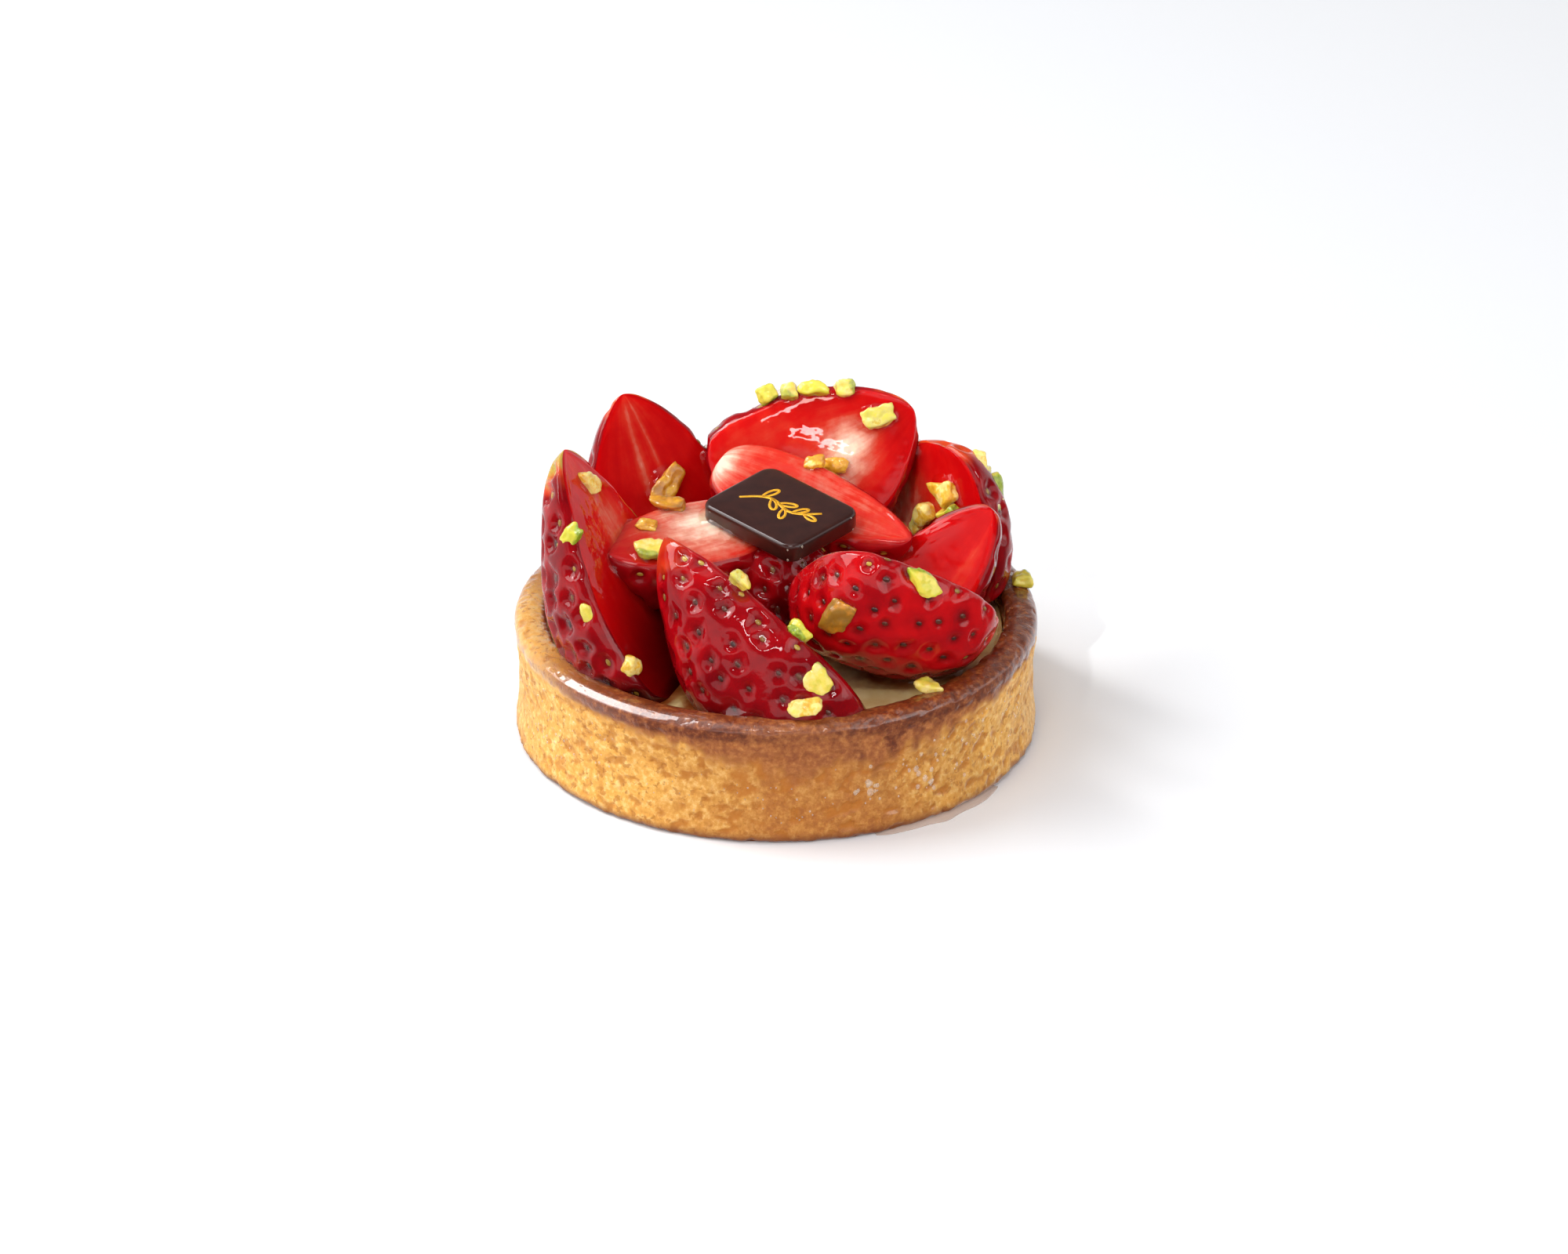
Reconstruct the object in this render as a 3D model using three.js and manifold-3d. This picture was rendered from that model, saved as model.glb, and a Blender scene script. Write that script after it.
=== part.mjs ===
// A single-serving strawberry tart: a round shortcrust case filled with cream, ten cut strawberries
// leaning together on it, a small chocolate plaque on top and chopped pistachio scattered over all.
// Millimetres, +Z up. The origin is the middle of the flat underside, and the front of the tart faces -Y.
import * as THREE from "three";
import { ImprovedNoise } from "three/addons/math/ImprovedNoise.js";
import { ConvexGeometry } from "three/addons/geometries/ConvexGeometry.js";
import { mergeVertices } from "three/addons/utils/BufferGeometryUtils.js";
import Module from "manifold-3d";

const wasm = await Module();
wasm.setup();

// Driving dimensions of the crust case.
const CRUST_RADIUS = 40;
const CRUST_HEIGHT = 19.6;
const WALL = 5;
const FLOOR = 4;
const FOOT_ROUND = 1.2;
const WAIST_DEPTH = 0.6;
const RIM_EDGE = 17.6; // height where the outer wall turns over into the rim
const RIM_INNER = 18.2; // height where the rim turns down into the case
const CRUST_RELIEF = 0.25; // how far the baked surface wanders in and out
const CRUST_SWELL = 6; // length of its long waves
const CRUST_LUMP = 1.6; // length of its short ones
const CRUST_SEGMENTS = 72;

// The cream fills the case to just below the rim.
const CREAM_TOP = 16;
const CREAM_RELIEF = 0.35;
const CREAM_SWELL = 8;
const CREAM_SEGMENTS = 48;

// Pieces that touch keep this gap.
const GAP = 0.3;

// The chocolate plaque, a thin rounded square tile turned towards the front right and leaning forwards.
const PLAQUE = {
  length: 19.5,
  width: 15.6,
  thickness: 3.2,
  corner: 2.4,
  edge: 0.7,
  middle: [0.7, -1.9, 36.1],
  turn: -44,
  lean: 6,
};

// Each strawberry piece is a berry cut lengthwise. hull is the middle of its leaf end, tip is its point,
// face is the way the cut face looks, width is across the face and depth is from the face to the skin.
// point and shoulder are the fullness of the two ends (2 is round), and belly is where it is widest.
const STRAWBERRIES = {
  strawberry_front: {
    hull: [13, -25.5, 9], tip: [-16.5, -16.2, 39.4], face: [0.6, 0.7, 0.5],
    width: 28, depth: 16, point: 1.5, shoulder: 2.6, belly: 0.34,
  },
  strawberry_front_right: {
    hull: [5, -17, 35.2], tip: [32, -12.7, 22], face: [0.35, 0.76, 0.53],
    width: 28, depth: 12, point: 2.4, shoulder: 3, belly: 0.36,
  },
  strawberry_middle_left: {
    hull: [-3, 1, 34.4], tip: [-25.5, -12, 34.8], face: [0, -0.2, 1],
    width: 17, depth: 17, point: 2, shoulder: 2.6, belly: 0.34,
  },
  strawberry_back_left: {
    hull: [-12, 10, 16], tip: [-23.6, 22, 45.2], face: [0.35, -0.8, 0.45],
    width: 26, depth: 16.5, point: 1.5, shoulder: 2.6, belly: 0.36,
  },
  strawberry_middle_back: {
    hull: [-8.5, 12.5, 38.6], tip: [20.5, -4, 33], face: [-0.1, -0.35, 0.93],
    width: 14.5, depth: 17, point: 1.6, shoulder: 3, belly: 0.34,
  },
  strawberry_right_low: {
    hull: [15, -7, 17], tip: [32.8, -3, 37.5], face: [-0.45, -0.75, 0.5],
    width: 17, depth: 10, point: 1.7, shoulder: 2.6, belly: 0.34,
  },
  strawberry_left: {
    hull: [-12.6, -16.6, 14.6], tip: [-31.8, -4.5, 48.3], face: [0.85, -0.3, 0.43],
    width: 29, depth: 15, point: 1.45, shoulder: 3.2, belly: 0.32,
  },
  strawberry_right: {
    hull: [25.8, 9, 15], tip: [24.4, 15, 40], face: [-0.75, -0.55, 0.3],
    width: 23.5, depth: 9.5, point: 2.5, shoulder: 2.6, belly: 0.34,
  },
  strawberry_back: {
    hull: [-6, 12.4, 28.4], tip: [21.2, 20, 43.6], face: [0, -0.82, 0.56],
    width: 29.5, depth: 18, point: 1.5, shoulder: 3.4, belly: 0.25,
  },
  strawberry_middle: {
    hull: [1.5, -3, 15], tip: [-0.5, -3.5, 34], face: [0, 1, 0],
    width: 21, depth: 8.5, point: 2.2, shoulder: 2.6, belly: 0.4,
  },
};

// Chopped pistachio: what each piece lies on, where its middle is, its length, width and height, and the
// angle of its long side from level as seen from the front.
const NUTS = [
  { on: "strawberry_back", at: [-1.1, 23.4, 44.2], size: [3.4, 3, 3.4], turn: 10 },
  { on: "strawberry_back", at: [2.1, 23.2, 45], size: [3.2, 3, 3.4], turn: 0 },
  { on: "strawberry_back", at: [5.7, 23.2, 45.5], size: [3.8, 2.6, 3.2], turn: 25 },
  { on: "strawberry_back", at: [10.7, 22.8, 45.7], size: [3.8, 2.6, 2.6], turn: 10 },
  { on: "strawberry_back", at: [15.9, 19.2, 42.5], size: [6.2, 3.6, 2], turn: 15 },
  { on: "strawberry_back", at: [9.6, 15.6, 36.1], size: [3.8, 2.6, 2.2], turn: 0 },
  { on: "strawberry_middle_back", at: [5.8, 11, 38.5], size: [3.6, 2.4, 1.6], turn: 5 },
  { on: "strawberry_back_left", at: [-16.8, 16.3, 32.2], size: [6.5, 4, 2.2], turn: 50 },
  { on: "strawberry_middle_left", at: [-16.4, 1.4, 36], size: [5.4, 3, 2], turn: 0 },
  { on: "strawberry_middle_left", at: [-18.6, -11.7, 34.4], size: [5.6, 4, 2.2], turn: 60 },
  { on: "strawberry_middle_left", at: [-19.5, -4.2, 35.4], size: [3.8, 2.4, 1.4], turn: 0 },
  { on: "strawberry_left", at: [-28.2, -5.6, 43.2], size: [4.6, 2.4, 1.8], turn: -60 },
  { on: "strawberry_left", at: [-30.8, -15.4, 38.7], size: [6.2, 3.2, 2], turn: 65 },
  { on: "strawberry_left", at: [-27.3, -22.1, 27.9], size: [5.4, 3.2, 2], turn: -75 },
  { on: "strawberry_left", at: [-21.9, -25.3, 22.3], size: [3.6, 3.2, 2.6], turn: 0 },
  { on: "strawberry_front", at: [-5.5, -25.5, 36.6], size: [4, 3.6, 2.4], turn: 40 },
  { on: "strawberry_front", at: [2.9, -30.4, 30.3], size: [4, 3.2, 2], turn: -20 },
  { on: "strawberry_front", at: [6.3, -34.4, 24.9], size: [5.2, 4, 1.6], turn: -60 },
  { on: "strawberry_front", at: [4.3, -36.6, 21.5], size: [6.2, 2.6, 2.4], turn: 5 },
  { on: "strawberry_front_right", at: [8.9, -27.1, 31.5], size: [6.6, 4.6, 1.8], turn: 65 },
  { on: "strawberry_front_right", at: [21.9, -25.9, 36.5], size: [5.6, 3.4, 2], turn: -70 },
  { on: "strawberry_right", at: [31, 13.3, 38], size: [3, 2.8, 2.4], turn: 30 },
  { on: "strawberry_right", at: [31.8, 12.6, 36.4], size: [3.2, 2.2, 2], turn: 0 },
  { on: "strawberry_right", at: [33.4, 11.8, 34.6], size: [4.3, 3.6, 2.6], turn: -60 },
  { on: "strawberry_right", at: [33.5, 8.5, 32.9], size: [3.2, 2.4, 2], turn: 10 },
  { on: "strawberry_right", at: [26.4, 10.7, 33.7], size: [4.6, 4, 2.4], turn: 20 },
  { on: "strawberry_right", at: [23.2, 13.8, 28.7], size: [4.2, 3.4, 3], turn: 30 },
  { on: "strawberry_right", at: [27, 9.4, 30.8], size: [4.6, 2.6, 2.4], turn: 25 },
  { on: "strawberry_right", at: [22, 14.9, 26], size: [3, 2.2, 1.8], turn: 40 },
  { on: "crust_case", at: [22.4, -27.3, 19.8], size: [4.2, 3.2, 2], turn: 15 },
  { on: "crust_case", at: [37.9, 7.8, 20], size: [3.8, 3.4, 2.4], turn: 60 },
];
const NUT_ROUGHNESS = 0.4; // how far a nut's corners are broken back, as a share of its size

const BERRY_STATIONS = 12;
const BERRY_RELIEF = 0.07; // share of the radius by which a berry is uneven
const BERRY_LUMPS = { round: 1.4, along: 3 }; // how many lumps there are round it and along it
const FACE_CORE = 0.45; // inner point of the half section, as a share of the depth
const FACE_SHARPNESS = 14; // how sharply the cut face meets the skin

const noise = new ImprovedNoise();

// Smooth noise between -1 and 1 at a point, with waves of the given length.
function noiseAt(point, length) {
  return noise.noise(point.x / length, point.y / length, point.z / length);
}

// A closed mesh as a solid for joining and cutting.
function solid(geometry) {
  const bare = geometry.index ? geometry.toNonIndexed() : geometry.clone();
  for (const name of Object.keys(bare.attributes)) {
    if (name !== "position") bare.deleteAttribute(name);
  }
  const merged = mergeVertices(bare, 1e-4);
  return new wasm.Manifold(
    new wasm.Mesh({
      numProp: 3,
      vertProperties: merged.attributes.position.array,
      triVerts: new Uint32Array(merged.index.array),
    }),
  );
}

// The largest body of a solid, so that a cut leaves no loose scrap.
function largestBody(cut) {
  const bodies = cut.decompose();
  return bodies.reduce((best, body) => (body.volume() > best.volume() ? body : best));
}

// A solid as a named mesh, with its geometry held in the frame of the given place.
function meshOf(name, body, material, place = new THREE.Matrix4()) {
  const { vertProperties, triVerts } = body.getMesh();
  const geometry = new THREE.BufferGeometry();
  geometry.setAttribute("position", new THREE.BufferAttribute(new Float32Array(vertProperties), 3));
  geometry.setIndex(new THREE.BufferAttribute(new Uint32Array(triVerts), 1));
  geometry.applyMatrix4(place.clone().invert());
  geometry.computeVertexNormals();
  const mesh = new THREE.Mesh(geometry, material);
  mesh.name = name;
  mesh.applyMatrix4(place);
  return mesh;
}

// A small repeatable random number source.
function randomSource(seed) {
  let state = seed;
  return () => {
    state = (state * 16807) % 2147483647;
    return state / 2147483647;
  };
}

// The crust's outline from the middle of the underside, up the wall, over the rim and down to the inner
// floor. grow moves the outer wall, the rim and the inner wall out by a clearance.
function crustOutline(grow = 0) {
  const outline = [new THREE.Vector2(0, 0)];
  const footSteps = 3;
  for (let i = 0; i <= footSteps; i++) {
    const angle = (i / footSteps - 1) * (Math.PI / 2);
    const radius = CRUST_RADIUS - FOOT_ROUND + FOOT_ROUND * Math.cos(angle);
    outline.push(new THREE.Vector2(radius, FOOT_ROUND + FOOT_ROUND * Math.sin(angle)));
  }
  const wallSteps = 9;
  for (let i = 1; i < wallSteps; i++) {
    const height = THREE.MathUtils.lerp(FOOT_ROUND, RIM_EDGE, i / wallSteps);
    const waist = WAIST_DEPTH * Math.sin((Math.PI * i) / wallSteps);
    outline.push(new THREE.Vector2(CRUST_RADIUS - waist + grow, height));
  }
  const rimSteps = 6;
  const rimMiddle = CRUST_RADIUS - WALL / 2;
  for (let i = 0; i <= rimSteps; i++) {
    const angle = (Math.PI * i) / rimSteps;
    const edge = THREE.MathUtils.lerp(RIM_EDGE, RIM_INNER, i / rimSteps);
    const radius = rimMiddle + (WALL / 2 + grow) * Math.cos(angle);
    const lift = (CRUST_HEIGHT + grow - edge) * Math.sqrt(Math.sin(angle));
    outline.push(new THREE.Vector2(radius, edge + lift));
  }
  outline.push(new THREE.Vector2(CRUST_RADIUS - WALL - grow, (FLOOR + RIM_INNER) / 2));
  outline.push(new THREE.Vector2(CRUST_RADIUS - WALL - grow, FLOOR));
  outline.push(new THREE.Vector2(0, FLOOR));
  return outline;
}

// The round case, whose baked wall and rim wander in and out by the relief.
function crustSolid() {
  const geometry = new THREE.LatheGeometry(crustOutline(), CRUST_SEGMENTS);
  const positions = geometry.attributes.position;
  const point = new THREE.Vector3();
  for (let i = 0; i < positions.count; i++) {
    point.fromBufferAttribute(positions, i);
    const radius = Math.hypot(point.x, point.z);
    if (point.y > 0.1 && radius > CRUST_RADIUS - WALL + 0.1) {
      const shift = CRUST_RELIEF * (noiseAt(point, CRUST_SWELL) + noiseAt(point, CRUST_LUMP));
      point.x *= 1 + shift / radius;
      point.z *= 1 + shift / radius;
      if (point.y > RIM_EDGE) point.y += shift;
      positions.setXYZ(i, point.x, point.y, point.z);
    }
  }
  geometry.rotateX(Math.PI / 2);
  return solid(geometry);
}

// What a piece must keep clear of: the rim and wall of the case, with everything outside them.
function crustClearance() {
  const outer = CRUST_RADIUS * 1.5;
  const below = -CRUST_HEIGHT;
  const clearance = GAP + CRUST_RELIEF;
  const rim = crustOutline(clearance).filter((p) => p.x > 0 && p.y >= RIM_EDGE);
  const profile = [new THREE.Vector2(outer, below), new THREE.Vector2(outer, RIM_EDGE), ...rim];
  profile.push(new THREE.Vector2(CRUST_RADIUS - WALL - clearance, below));
  profile.push(profile[0].clone());
  const geometry = new THREE.LatheGeometry(profile, CRUST_SEGMENTS);
  geometry.rotateX(Math.PI / 2);
  return solid(geometry);
}

// The cream, a disc with a gently uneven top. lift raises the top, for the clearance of what lies on it.
function creamSolid(lift = 0) {
  const radius = CRUST_RADIUS - WALL - GAP - CRUST_RELIEF / 2;
  const rings = 5;
  const profile = [new THREE.Vector2(0, FLOOR + GAP), new THREE.Vector2(radius, FLOOR + GAP)];
  for (let i = 0; i < rings; i++) {
    profile.push(new THREE.Vector2(radius * (1 - i / rings), CREAM_TOP + lift));
  }
  profile.push(new THREE.Vector2(0, CREAM_TOP + lift));
  const geometry = new THREE.LatheGeometry(profile, CREAM_SEGMENTS);
  const positions = geometry.attributes.position;
  for (let i = 0; i < positions.count; i++) {
    const across = new THREE.Vector3(positions.getX(i), CREAM_TOP, positions.getZ(i));
    if (positions.getY(i) > CREAM_TOP - 1) {
      positions.setY(i, positions.getY(i) + CREAM_RELIEF * noiseAt(across, CREAM_SWELL));
    }
  }
  geometry.rotateX(Math.PI / 2);
  return solid(geometry);
}

// Distance from the inner point of the half section to its rounded D outline, in a direction given by
// its angle. The skin is a unit half circle and the cut face is the straight side.
function halfSection(angle) {
  const up = Math.sin(angle);
  const skin = FACE_CORE * up + Math.sqrt(FACE_CORE ** 2 * up ** 2 + 1 - FACE_CORE ** 2);
  const face = Math.max(up, 0) / FACE_CORE;
  return (skin ** -FACE_SHARPNESS + face ** FACE_SHARPNESS) ** (-1 / FACE_SHARPNESS);
}

// Places along the berry from its leaf end (0) to its tip (1), with the share of the full radius there.
function berryStations({ point, shoulder, belly }) {
  const shoulderSteps = Math.round(BERRY_STATIONS * 0.4);
  const pointSteps = BERRY_STATIONS - shoulderSteps;
  const stations = [];
  for (let i = 1; i < shoulderSteps; i++) {
    const angle = (Math.PI / 2) * (i / shoulderSteps);
    stations.push([belly * (1 - Math.cos(angle) ** (2 / shoulder)), Math.sin(angle) ** (2 / shoulder)]);
  }
  for (let i = 0; i < pointSteps; i++) {
    const angle = (Math.PI / 2) * (i / pointSteps);
    stations.push([belly + (1 - belly) * Math.sin(angle) ** (2 / point), Math.cos(angle) ** (2 / point)]);
  }
  return stations;
}

// Angles round the half section: close together at the two edges of the cut face.
const EDGE_ANGLE = Math.atan2(FACE_CORE, 1);
const SECTION_ANGLES = [
  ...[0, 0.22, 0.5, 0.78, 1].map((t) => THREE.MathUtils.lerp(EDGE_ANGLE, Math.PI - EDGE_ANGLE, t)),
  ...[0.03, 0.1, 0.2, 0.32, 0.44, 0.56, 0.68, 0.8, 0.9, 0.97].map((t) =>
    THREE.MathUtils.lerp(Math.PI - EDGE_ANGLE, 2 * Math.PI + EDGE_ANGLE, t),
  ),
];

// A berry's own frame: Z runs from leaf end to tip and Y is the way its cut face looks.
function berryPlace({ hull, tip, face }) {
  const axis = new THREE.Vector3(...tip).sub(new THREE.Vector3(...hull)).normalize();
  const outward = new THREE.Vector3(...face);
  outward.addScaledVector(axis, -outward.dot(axis)).normalize();
  const side = new THREE.Vector3().crossVectors(outward, axis);
  return new THREE.Matrix4().makeBasis(side, outward, axis).setPosition(...hull);
}

// A point of a berry's surface in its own frame, grown on every side by a clearance.
function berryPoint(berry, along, share, angle, grow = 0) {
  const length = new THREE.Vector3(...berry.tip).distanceTo(new THREE.Vector3(...berry.hull));
  const { round, along: lengthwise } = BERRY_LUMPS;
  const uneven = noise.noise(
    Math.cos(angle) * round + berry.tip[0], Math.sin(angle) * round, along * lengthwise,
  );
  const reach = halfSection(angle) * share * (1 + BERRY_RELIEF * uneven);
  const across = Math.cos(angle) * reach;
  const out = Math.sin(angle) * reach - FACE_CORE * share;
  return new THREE.Vector3(
    across * (berry.width / 2 + grow),
    out * (berry.depth + grow) + (out > -0.02 ? grow : 0),
    along * (length + 2 * grow) - grow,
  );
}

// A strawberry piece as a solid in the tart's frame.
function berrySolid(berry, grow = 0) {
  const rings = berryStations(berry).map(([along, share]) =>
    SECTION_ANGLES.map((angle) => berryPoint(berry, along, share, angle, grow)),
  );
  const count = SECTION_ANGLES.length;
  const ends = [berryPoint(berry, 0, 0, 0, grow), berryPoint(berry, 1, 0, 0, grow)];
  ends[0].y = -FACE_CORE * berry.depth * berryStations(berry)[0][1];
  const points = [...rings.flat(), ...ends];
  const faces = [];
  for (let ring = 0; ring + 1 < rings.length; ring++) {
    for (let i = 0; i < count; i++) {
      const a = ring * count + i;
      const b = ring * count + ((i + 1) % count);
      faces.push(a, b, b + count, a, b + count, a + count);
    }
  }
  const last = (rings.length - 1) * count;
  for (let i = 0; i < count; i++) {
    const next = (i + 1) % count;
    faces.push(rings.length * count, next, i);
    faces.push(rings.length * count + 1, last + i, last + next);
  }
  const geometry = new THREE.BufferGeometry().setFromPoints(points);
  geometry.setIndex(faces);
  geometry.applyMatrix4(berryPlace(berry));
  return solid(geometry);
}

// The plaque's place on top of the berries.
function plaquePlace() {
  const lean = new THREE.Matrix4().makeRotationX(THREE.MathUtils.degToRad(PLAQUE.lean));
  const turn = new THREE.Matrix4().makeRotationZ(THREE.MathUtils.degToRad(PLAQUE.turn));
  return lean.multiply(turn).setPosition(...PLAQUE.middle);
}

// The rounded tile, grown on every side by a clearance.
function plaqueSolid(grow = 0) {
  const inset = PLAQUE.edge;
  const halfLength = PLAQUE.length / 2 - inset + grow;
  const halfWidth = PLAQUE.width / 2 - inset + grow;
  const corner = PLAQUE.corner - inset;
  const shape = new THREE.Shape();
  shape.moveTo(halfLength, -halfWidth + corner);
  shape.absarc(halfLength - corner, halfWidth - corner, corner, 0, Math.PI / 2);
  shape.absarc(corner - halfLength, halfWidth - corner, corner, Math.PI / 2, Math.PI);
  shape.absarc(corner - halfLength, corner - halfWidth, corner, Math.PI, Math.PI * 1.5);
  shape.absarc(halfLength - corner, corner - halfWidth, corner, Math.PI * 1.5, Math.PI * 2);
  const depth = PLAQUE.thickness + 2 * grow - 2 * inset;
  const geometry = new THREE.ExtrudeGeometry(shape, {
    depth, bevelThickness: inset, bevelSize: inset, bevelSegments: 2, curveSegments: 4,
  });
  geometry.translate(0, 0, -depth / 2);
  geometry.applyMatrix4(plaquePlace());
  return solid(geometry);
}

// The way the surface of a berry, or of the rim, looks where a nut lies on it.
function outwardAt(nut) {
  const berry = STRAWBERRIES[nut.on];
  if (!berry) return new THREE.Vector3(0, 0, 1);
  const place = berryPlace(berry);
  const local = new THREE.Vector3(...nut.at).applyMatrix4(place.clone().invert());
  const onFace = local.y > -1 && Math.abs(local.x) < berry.width / 2 - 1;
  const outward = onFace ? new THREE.Vector3(0, 1, 0) : new THREE.Vector3(local.x, local.y, 0);
  return outward.transformDirection(place);
}

// One chopped nut: a small block with broken corners, its long side turned as seen from the front.
function nutSolid(nut, seed) {
  const random = randomSource(seed);
  const outward = outwardAt(nut);
  const turn = THREE.MathUtils.degToRad(nut.turn);
  const long = new THREE.Vector3(Math.cos(turn), 0, Math.sin(turn));
  long.addScaledVector(outward, -long.dot(outward)).normalize();
  const wide = new THREE.Vector3().crossVectors(outward, long);
  const half = new THREE.Vector3(...nut.size).multiplyScalar(0.5);
  const corners = [];
  for (let i = 0; i < 8; i++) {
    const signs = [i & 1 ? 1 : -1, i & 2 ? 1 : -1, i & 4 ? 1 : -1];
    corners.push(new THREE.Vector3(...signs.map((sign) => sign * (1 - NUT_ROUGHNESS * random()))));
  }
  for (const end of [-1, 1]) {
    corners.push(new THREE.Vector3(end, random() - 0.5, random() - 0.5));
    corners.push(new THREE.Vector3(random() - 0.5, end, random() - 0.5));
  }
  const geometry = new ConvexGeometry(corners.map((corner) => corner.multiply(half)));
  geometry.applyMatrix4(new THREE.Matrix4().makeBasis(long, wide, outward).setPosition(...nut.at));
  return solid(geometry);
}

const MATERIALS = {
  crust: new THREE.MeshStandardMaterial({ color: "#d09a4c", roughness: 0.6 }),
  cream: new THREE.MeshStandardMaterial({ color: "#efe6c4", roughness: 0.4 }),
  strawberry: new THREE.MeshStandardMaterial({ color: "#b0131a", roughness: 0.15 }),
  chocolate: new THREE.MeshStandardMaterial({ color: "#2c1a17", roughness: 0.3 }),
};

// Every strawberry is cut to fit the case, the cream, the plaque and the berries listed before it.
const bodies = new Map([["crust_case", crustSolid()]]);
const keepOut = crustClearance().add(creamSolid(GAP));
let taken = plaqueSolid(GAP);
for (const [name, berry] of Object.entries(STRAWBERRIES)) {
  bodies.set(name, largestBody(berrySolid(berry).subtract(keepOut).subtract(taken)));
  taken = taken.add(berrySolid(berry, GAP));
}
NUTS.forEach((nut, i) => {
  bodies.set(nut.on, bodies.get(nut.on).add(nutSolid(nut, i + 1)));
});

const tart = new THREE.Group();
tart.add(meshOf("crust_case", bodies.get("crust_case"), MATERIALS.crust));
tart.add(meshOf("cream_filling", creamSolid(), MATERIALS.cream));
for (const [name, berry] of Object.entries(STRAWBERRIES)) {
  tart.add(meshOf(name, bodies.get(name), MATERIALS.strawberry, berryPlace(berry)));
}
tart.add(meshOf("chocolate_plaque", plaqueSolid(), MATERIALS.chocolate, plaquePlace()));

export default tart;
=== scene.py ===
# %% [markdown]
# # A strawberry tart
# A single-serving tart: a shortcrust case with cream, glazed strawberry pieces, chopped pistachio and a
# small chocolate plaque. The solids of the tart come from the frame. This lesson dresses them: each
# cell makes one piece or one finish, on the same spot as its solid.

# %% Load the frame
import math

import bmesh
import bpy
import numpy as np
from mathutils import Matrix, Quaternion, Vector, kdtree, noise


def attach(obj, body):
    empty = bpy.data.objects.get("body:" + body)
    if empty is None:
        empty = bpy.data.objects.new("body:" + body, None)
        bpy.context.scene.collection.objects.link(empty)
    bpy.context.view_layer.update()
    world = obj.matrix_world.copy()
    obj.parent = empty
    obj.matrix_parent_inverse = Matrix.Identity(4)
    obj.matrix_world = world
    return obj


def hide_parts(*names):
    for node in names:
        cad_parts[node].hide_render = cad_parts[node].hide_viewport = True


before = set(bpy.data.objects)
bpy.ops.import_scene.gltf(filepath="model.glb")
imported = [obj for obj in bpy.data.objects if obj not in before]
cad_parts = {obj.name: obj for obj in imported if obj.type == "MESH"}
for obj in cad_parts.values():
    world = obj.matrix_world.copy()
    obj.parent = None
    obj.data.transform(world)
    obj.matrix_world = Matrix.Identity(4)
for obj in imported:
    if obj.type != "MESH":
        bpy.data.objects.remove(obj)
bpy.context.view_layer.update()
print("frame:", sorted(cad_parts))

# %% [markdown]
# Every size below is in millimetres, as a baker would measure it, and one factor turns it to Blender's
# metres. Colours are the sRGB hex values that a colour picker shows, and one function turns them linear.
# One more function adds a node. Its inputs are given by name or in order, and each is a number, a hex
# colour, or the node or socket that is linked to it.

# %% Units, colours and a node helper
MM = 0.001
MATH, RANGE, NOISE = "ShaderNodeMath", "ShaderNodeMapRange", "ShaderNodeTexNoise"
RAMP, MIX, BUMP = "ShaderNodeValToRGB", "ShaderNodeMix", "ShaderNodeBump"
MULTIPLY, SUBTRACT, MULTIPLY_ADD = ({"operation": name} for name in ("MULTIPLY", "SUBTRACT", "MULTIPLY_ADD"))
SMOOTH = {"interpolation_type": "SMOOTHSTEP"}


def linear(hex_colour):
    """An sRGB hex colour as the linear RGBA that shaders expect."""
    channels = [int(hex_colour[i : i + 2], 16) / 255 for i in (1, 3, 5)]
    return [c / 12.92 if c <= 0.04045 else ((c + 0.055) / 1.055) ** 2.4 for c in channels] + [1.0]


def fill(tree, node, inputs):
    """Fills a node's inputs: a node or socket is linked, a hex colour made linear, the rest set."""
    for key, value in inputs.items() if isinstance(inputs, dict) else enumerate(inputs):
        if isinstance(value, bpy.types.Node):
            value = value.outputs[0]
        if isinstance(value, bpy.types.NodeSocket):
            tree.links.new(value, node.inputs[key])
        elif isinstance(value, str) and value.startswith("#"):
            node.inputs[key].default_value = linear(value)
        else:
            node.inputs[key].default_value = value


def add_node(tree, kind, settings=None, inputs=(), stops=()):
    """Adds a node with its settings, its inputs and, for a colour ramp, its (position, colour) stops."""
    made = tree.nodes.new(kind)
    for name, value in (settings or {}).items():
        setattr(made, name, value)
    fill(tree, made, inputs)
    for _ in stops[2:]:
        made.color_ramp.elements.new(0.5)
    for index, (position, colour) in enumerate(stops):
        element = made.color_ramp.elements[index]
        element.position, element.color = position, linear(colour)
    return made


def layered(tree, colour, coats):
    """Lays coats over a colour, each given as how much it covers and its own colour."""
    for cover, coat in coats:
        colour = add_node(tree, MIX, {"data_type": "RGBA"}, {0: cover, 6: colour, 7: coat}).outputs[2]
    return colour


def stirred(tree, value, pattern, amount):
    """Moves a value up and down by a pattern, which runs from 0 to 1 round a middle of one half."""
    centred = add_node(tree, MATH, SUBTRACT, [pattern, 0.5])
    return add_node(tree, MATH, MULTIPLY_ADD, [centred, amount, value])


print("white is", linear("#FFFFFF"))

# %% [markdown]
# A material reads its place on the piece, or numbers that ride on the piece's points. A piece is made
# from points in millimetres, and where a modifier shapes it, the result is kept as a plain mesh.

# %% Materials and pieces
def new_material(name, reads=()):
    """A node material, its tree and shader, then what it reads: the place, or values on the points."""
    material = bpy.data.materials.new(name)
    material.use_nodes = True
    tree = material.node_tree
    sources = [
        add_node(tree, "ShaderNodeTexCoord").outputs["Object"] if read == "place"
        else add_node(tree, "ShaderNodeAttribute", {"attribute_name": read}).outputs["Fac"]
        for read in reads
    ]
    return material, tree, tree.nodes["Principled BSDF"], *sources


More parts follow.
